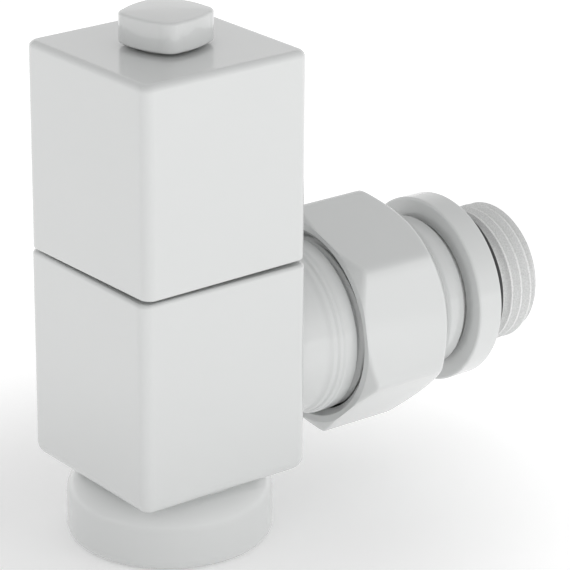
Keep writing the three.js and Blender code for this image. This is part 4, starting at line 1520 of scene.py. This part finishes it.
@dataclass
class Studio:
    """Pale floor with a painted soft shadow round the valve, soft light and the camera.

    Angles are degrees, lengths millimetres, and power is watts.
    """

    azimuth: float = -37.4413
    elevation: float = 21.5231
    roll: float = 0.4052
    distance: float = 446.2132
    aside: float = 16.6825
    above: float = 34.3129
    rise: float = 0.8
    lens: float = 194.12
    horizon: float = 0.92
    zenith: float = 0.62
    dimming: tuple[float, float] = (0.12, 0.75)  # sines of the heights where the sky starts and ends to dim
    floor_radius: float = 6000.0
    floor_top: float = -0.05
    floor_grey: float = 0.86
    floor_roughness: float = 0.9
    floor_glow: float = 0.5
    painted_shadow_glow: float = 0.4  # share of the floor's glow that is left beside the valve: how dark the painted soft shadow is
    shade: tuple[float, float] = (25.0, 80.0)  # radii where the floor's glow starts and ends to rise out of the painted shadow
    box_place: tuple[float, float, float] = (150, -420, 90)
    box_aim: tuple[float, float, float] = (0, 0, 25)
    box_side: float = 300.0
    box_power: float = 0.45

    def build(self) -> None:
        """Sets up world, floor, lamp and camera."""
        scene = bpy.context.scene
        scene.view_settings.view_transform = "Standard"
        scene.world = bpy.data.worlds.new("studio")
        self._light_world(scene.world)
        self._floor()
        self._lamp()
        self._camera(scene)

    def _light_world(self, world: bpy.types.World) -> None:
        """White round the horizon, dimmer overhead."""
        world.use_nodes = True
        graph = Graph(world.node_tree)
        way = graph.wire("ShaderNodeTexCoord", output="Generated")
        split = graph.node("ShaderNodeSeparateXYZ", None, {0: way})
        settings = {"interpolation_type": "SMOOTHSTEP"}
        inputs = {"Value": Wire(graph, split.outputs[2]), "To Min": self.horizon, "To Max": self.zenith}
        inputs |= {"From Min": self.dimming[0], "From Max": self.dimming[1]}
        strength = graph.wire("ShaderNodeMapRange", settings, inputs)
        back = world.node_tree.nodes["Background"]
        back.inputs["Color"].default_value = (1, 1, 1, 1)
        world.node_tree.links.new(strength.socket, back.inputs["Strength"])

    def _floor(self) -> None:
        """A wide round pale floor under the inlet rim, whose glow is dimmed round the valve as a painted
        soft shadow.
        """
        foot, top, rim = self.floor_top - 0.95, self.floor_top, self.floor_radius
        profile = np.array(((0.0, foot), (rim, foot), (rim, top), (0.0, top)))
        made = Skin.turned(profile, 96).object("floor")
        closed_and_outward(made)
        pale = bpy.data.materials.new("pale_floor")
        pale.use_nodes = True
        shader = pale.node_tree.nodes["Principled BSDF"]
        shader.inputs["Base Color"].default_value = (*(self.floor_grey,) * 3, 1)
        shader.inputs["Roughness"].default_value = self.floor_roughness
        shader.inputs["Emission Strength"].default_value = self.floor_glow
        graph = Graph(pale.node_tree)
        place = graph.wire("ShaderNodeTexCoord", output="Object")
        # The glow is dimmed near the valve and rises outwards: a painted soft shadow on the floor.
        reach = graph.wire("ShaderNodeVectorMath", {"operation": "LENGTH"}, {0: place}, output="Value")
        settings = {"interpolation_type": "SMOOTHSTEP"}
        near, far = (radius * MM for radius in self.shade)
        inputs = {"Value": reach, "From Min": near, "From Max": far, "To Min": self.painted_shadow_glow, "To Max": 1.0}
        glow = graph.wire("ShaderNodeMapRange", settings, inputs)
        tint = graph.wire("ShaderNodeCombineColor", None, {0: glow, 1: glow, 2: glow})
        graph.tree.links.new(tint.socket, shader.inputs["Emission Color"])
        made.data.materials.append(pale)

    def _lamp(self) -> None:
        """Adds one square soft box in front of the valve, which no glossy surface mirrors."""
        lamp = bpy.data.lights.new("front_box", "AREA")
        lamp.shape = "RECTANGLE"
        lamp.size = lamp.size_y = self.box_side * MM
        lamp.energy = self.box_power
        made = bpy.data.objects.new("front_box", lamp)
        made.visible_glossy = False
        bpy.context.scene.collection.objects.link(made)
        place, aim = Vector(self.box_place), Vector(self.box_aim)
        made.location = place * MM
        made.rotation_euler = (aim - place).to_track_quat("-Z", "Y").to_euler()

    def _camera(self, scene: bpy.types.Scene) -> None:
        """Adds the camera at its measured place."""
        turn, lift, roll = (math.radians(angle) for angle in (self.azimuth, self.elevation, self.roll))
        back = Vector((math.sin(turn) * math.cos(lift), -math.cos(turn) * math.cos(lift), math.sin(lift)))
        right = Vector((math.cos(turn), math.sin(turn), 0))
        up = back.cross(right)
        side = right * math.cos(roll) + up * math.sin(roll)
        head = up * math.cos(roll) - right * math.sin(roll)
        camera = bpy.data.cameras.new("camera")
        camera.lens = self.lens
        camera.sensor_width = 36
        camera.clip_start = 0.01
        made = bpy.data.objects.new("camera", camera)
        scene.collection.objects.link(made)
        place = side * self.aside + head * self.above + back * self.distance + Vector((0, 0, self.rise))
        axes = Matrix((side, head, back)).transposed().to_4x4()
        made.matrix_world = Matrix.Translation(place * MM) @ axes
        scene.camera = made


def main() -> None:
    """Builds every sub-assembly, then the studio."""
    logging.basicConfig(level=logging.INFO, format="%(name)s: %(message)s")
    shop = Workshop()
    kinds = (ValveCasting, Headwork, PlugSet, UnionJoint, RadiatorTail, LockshieldCover, CaptiveKnob)
    for kind in kinds:
        part = kind(shop)
        part.build()
        part.dress()
        LOG.info("%s: %d pieces", kind.__name__, len(part.made))
    Studio().build()


if __name__ == "__main__":
    main()
    bpy.context.view_layer.update()
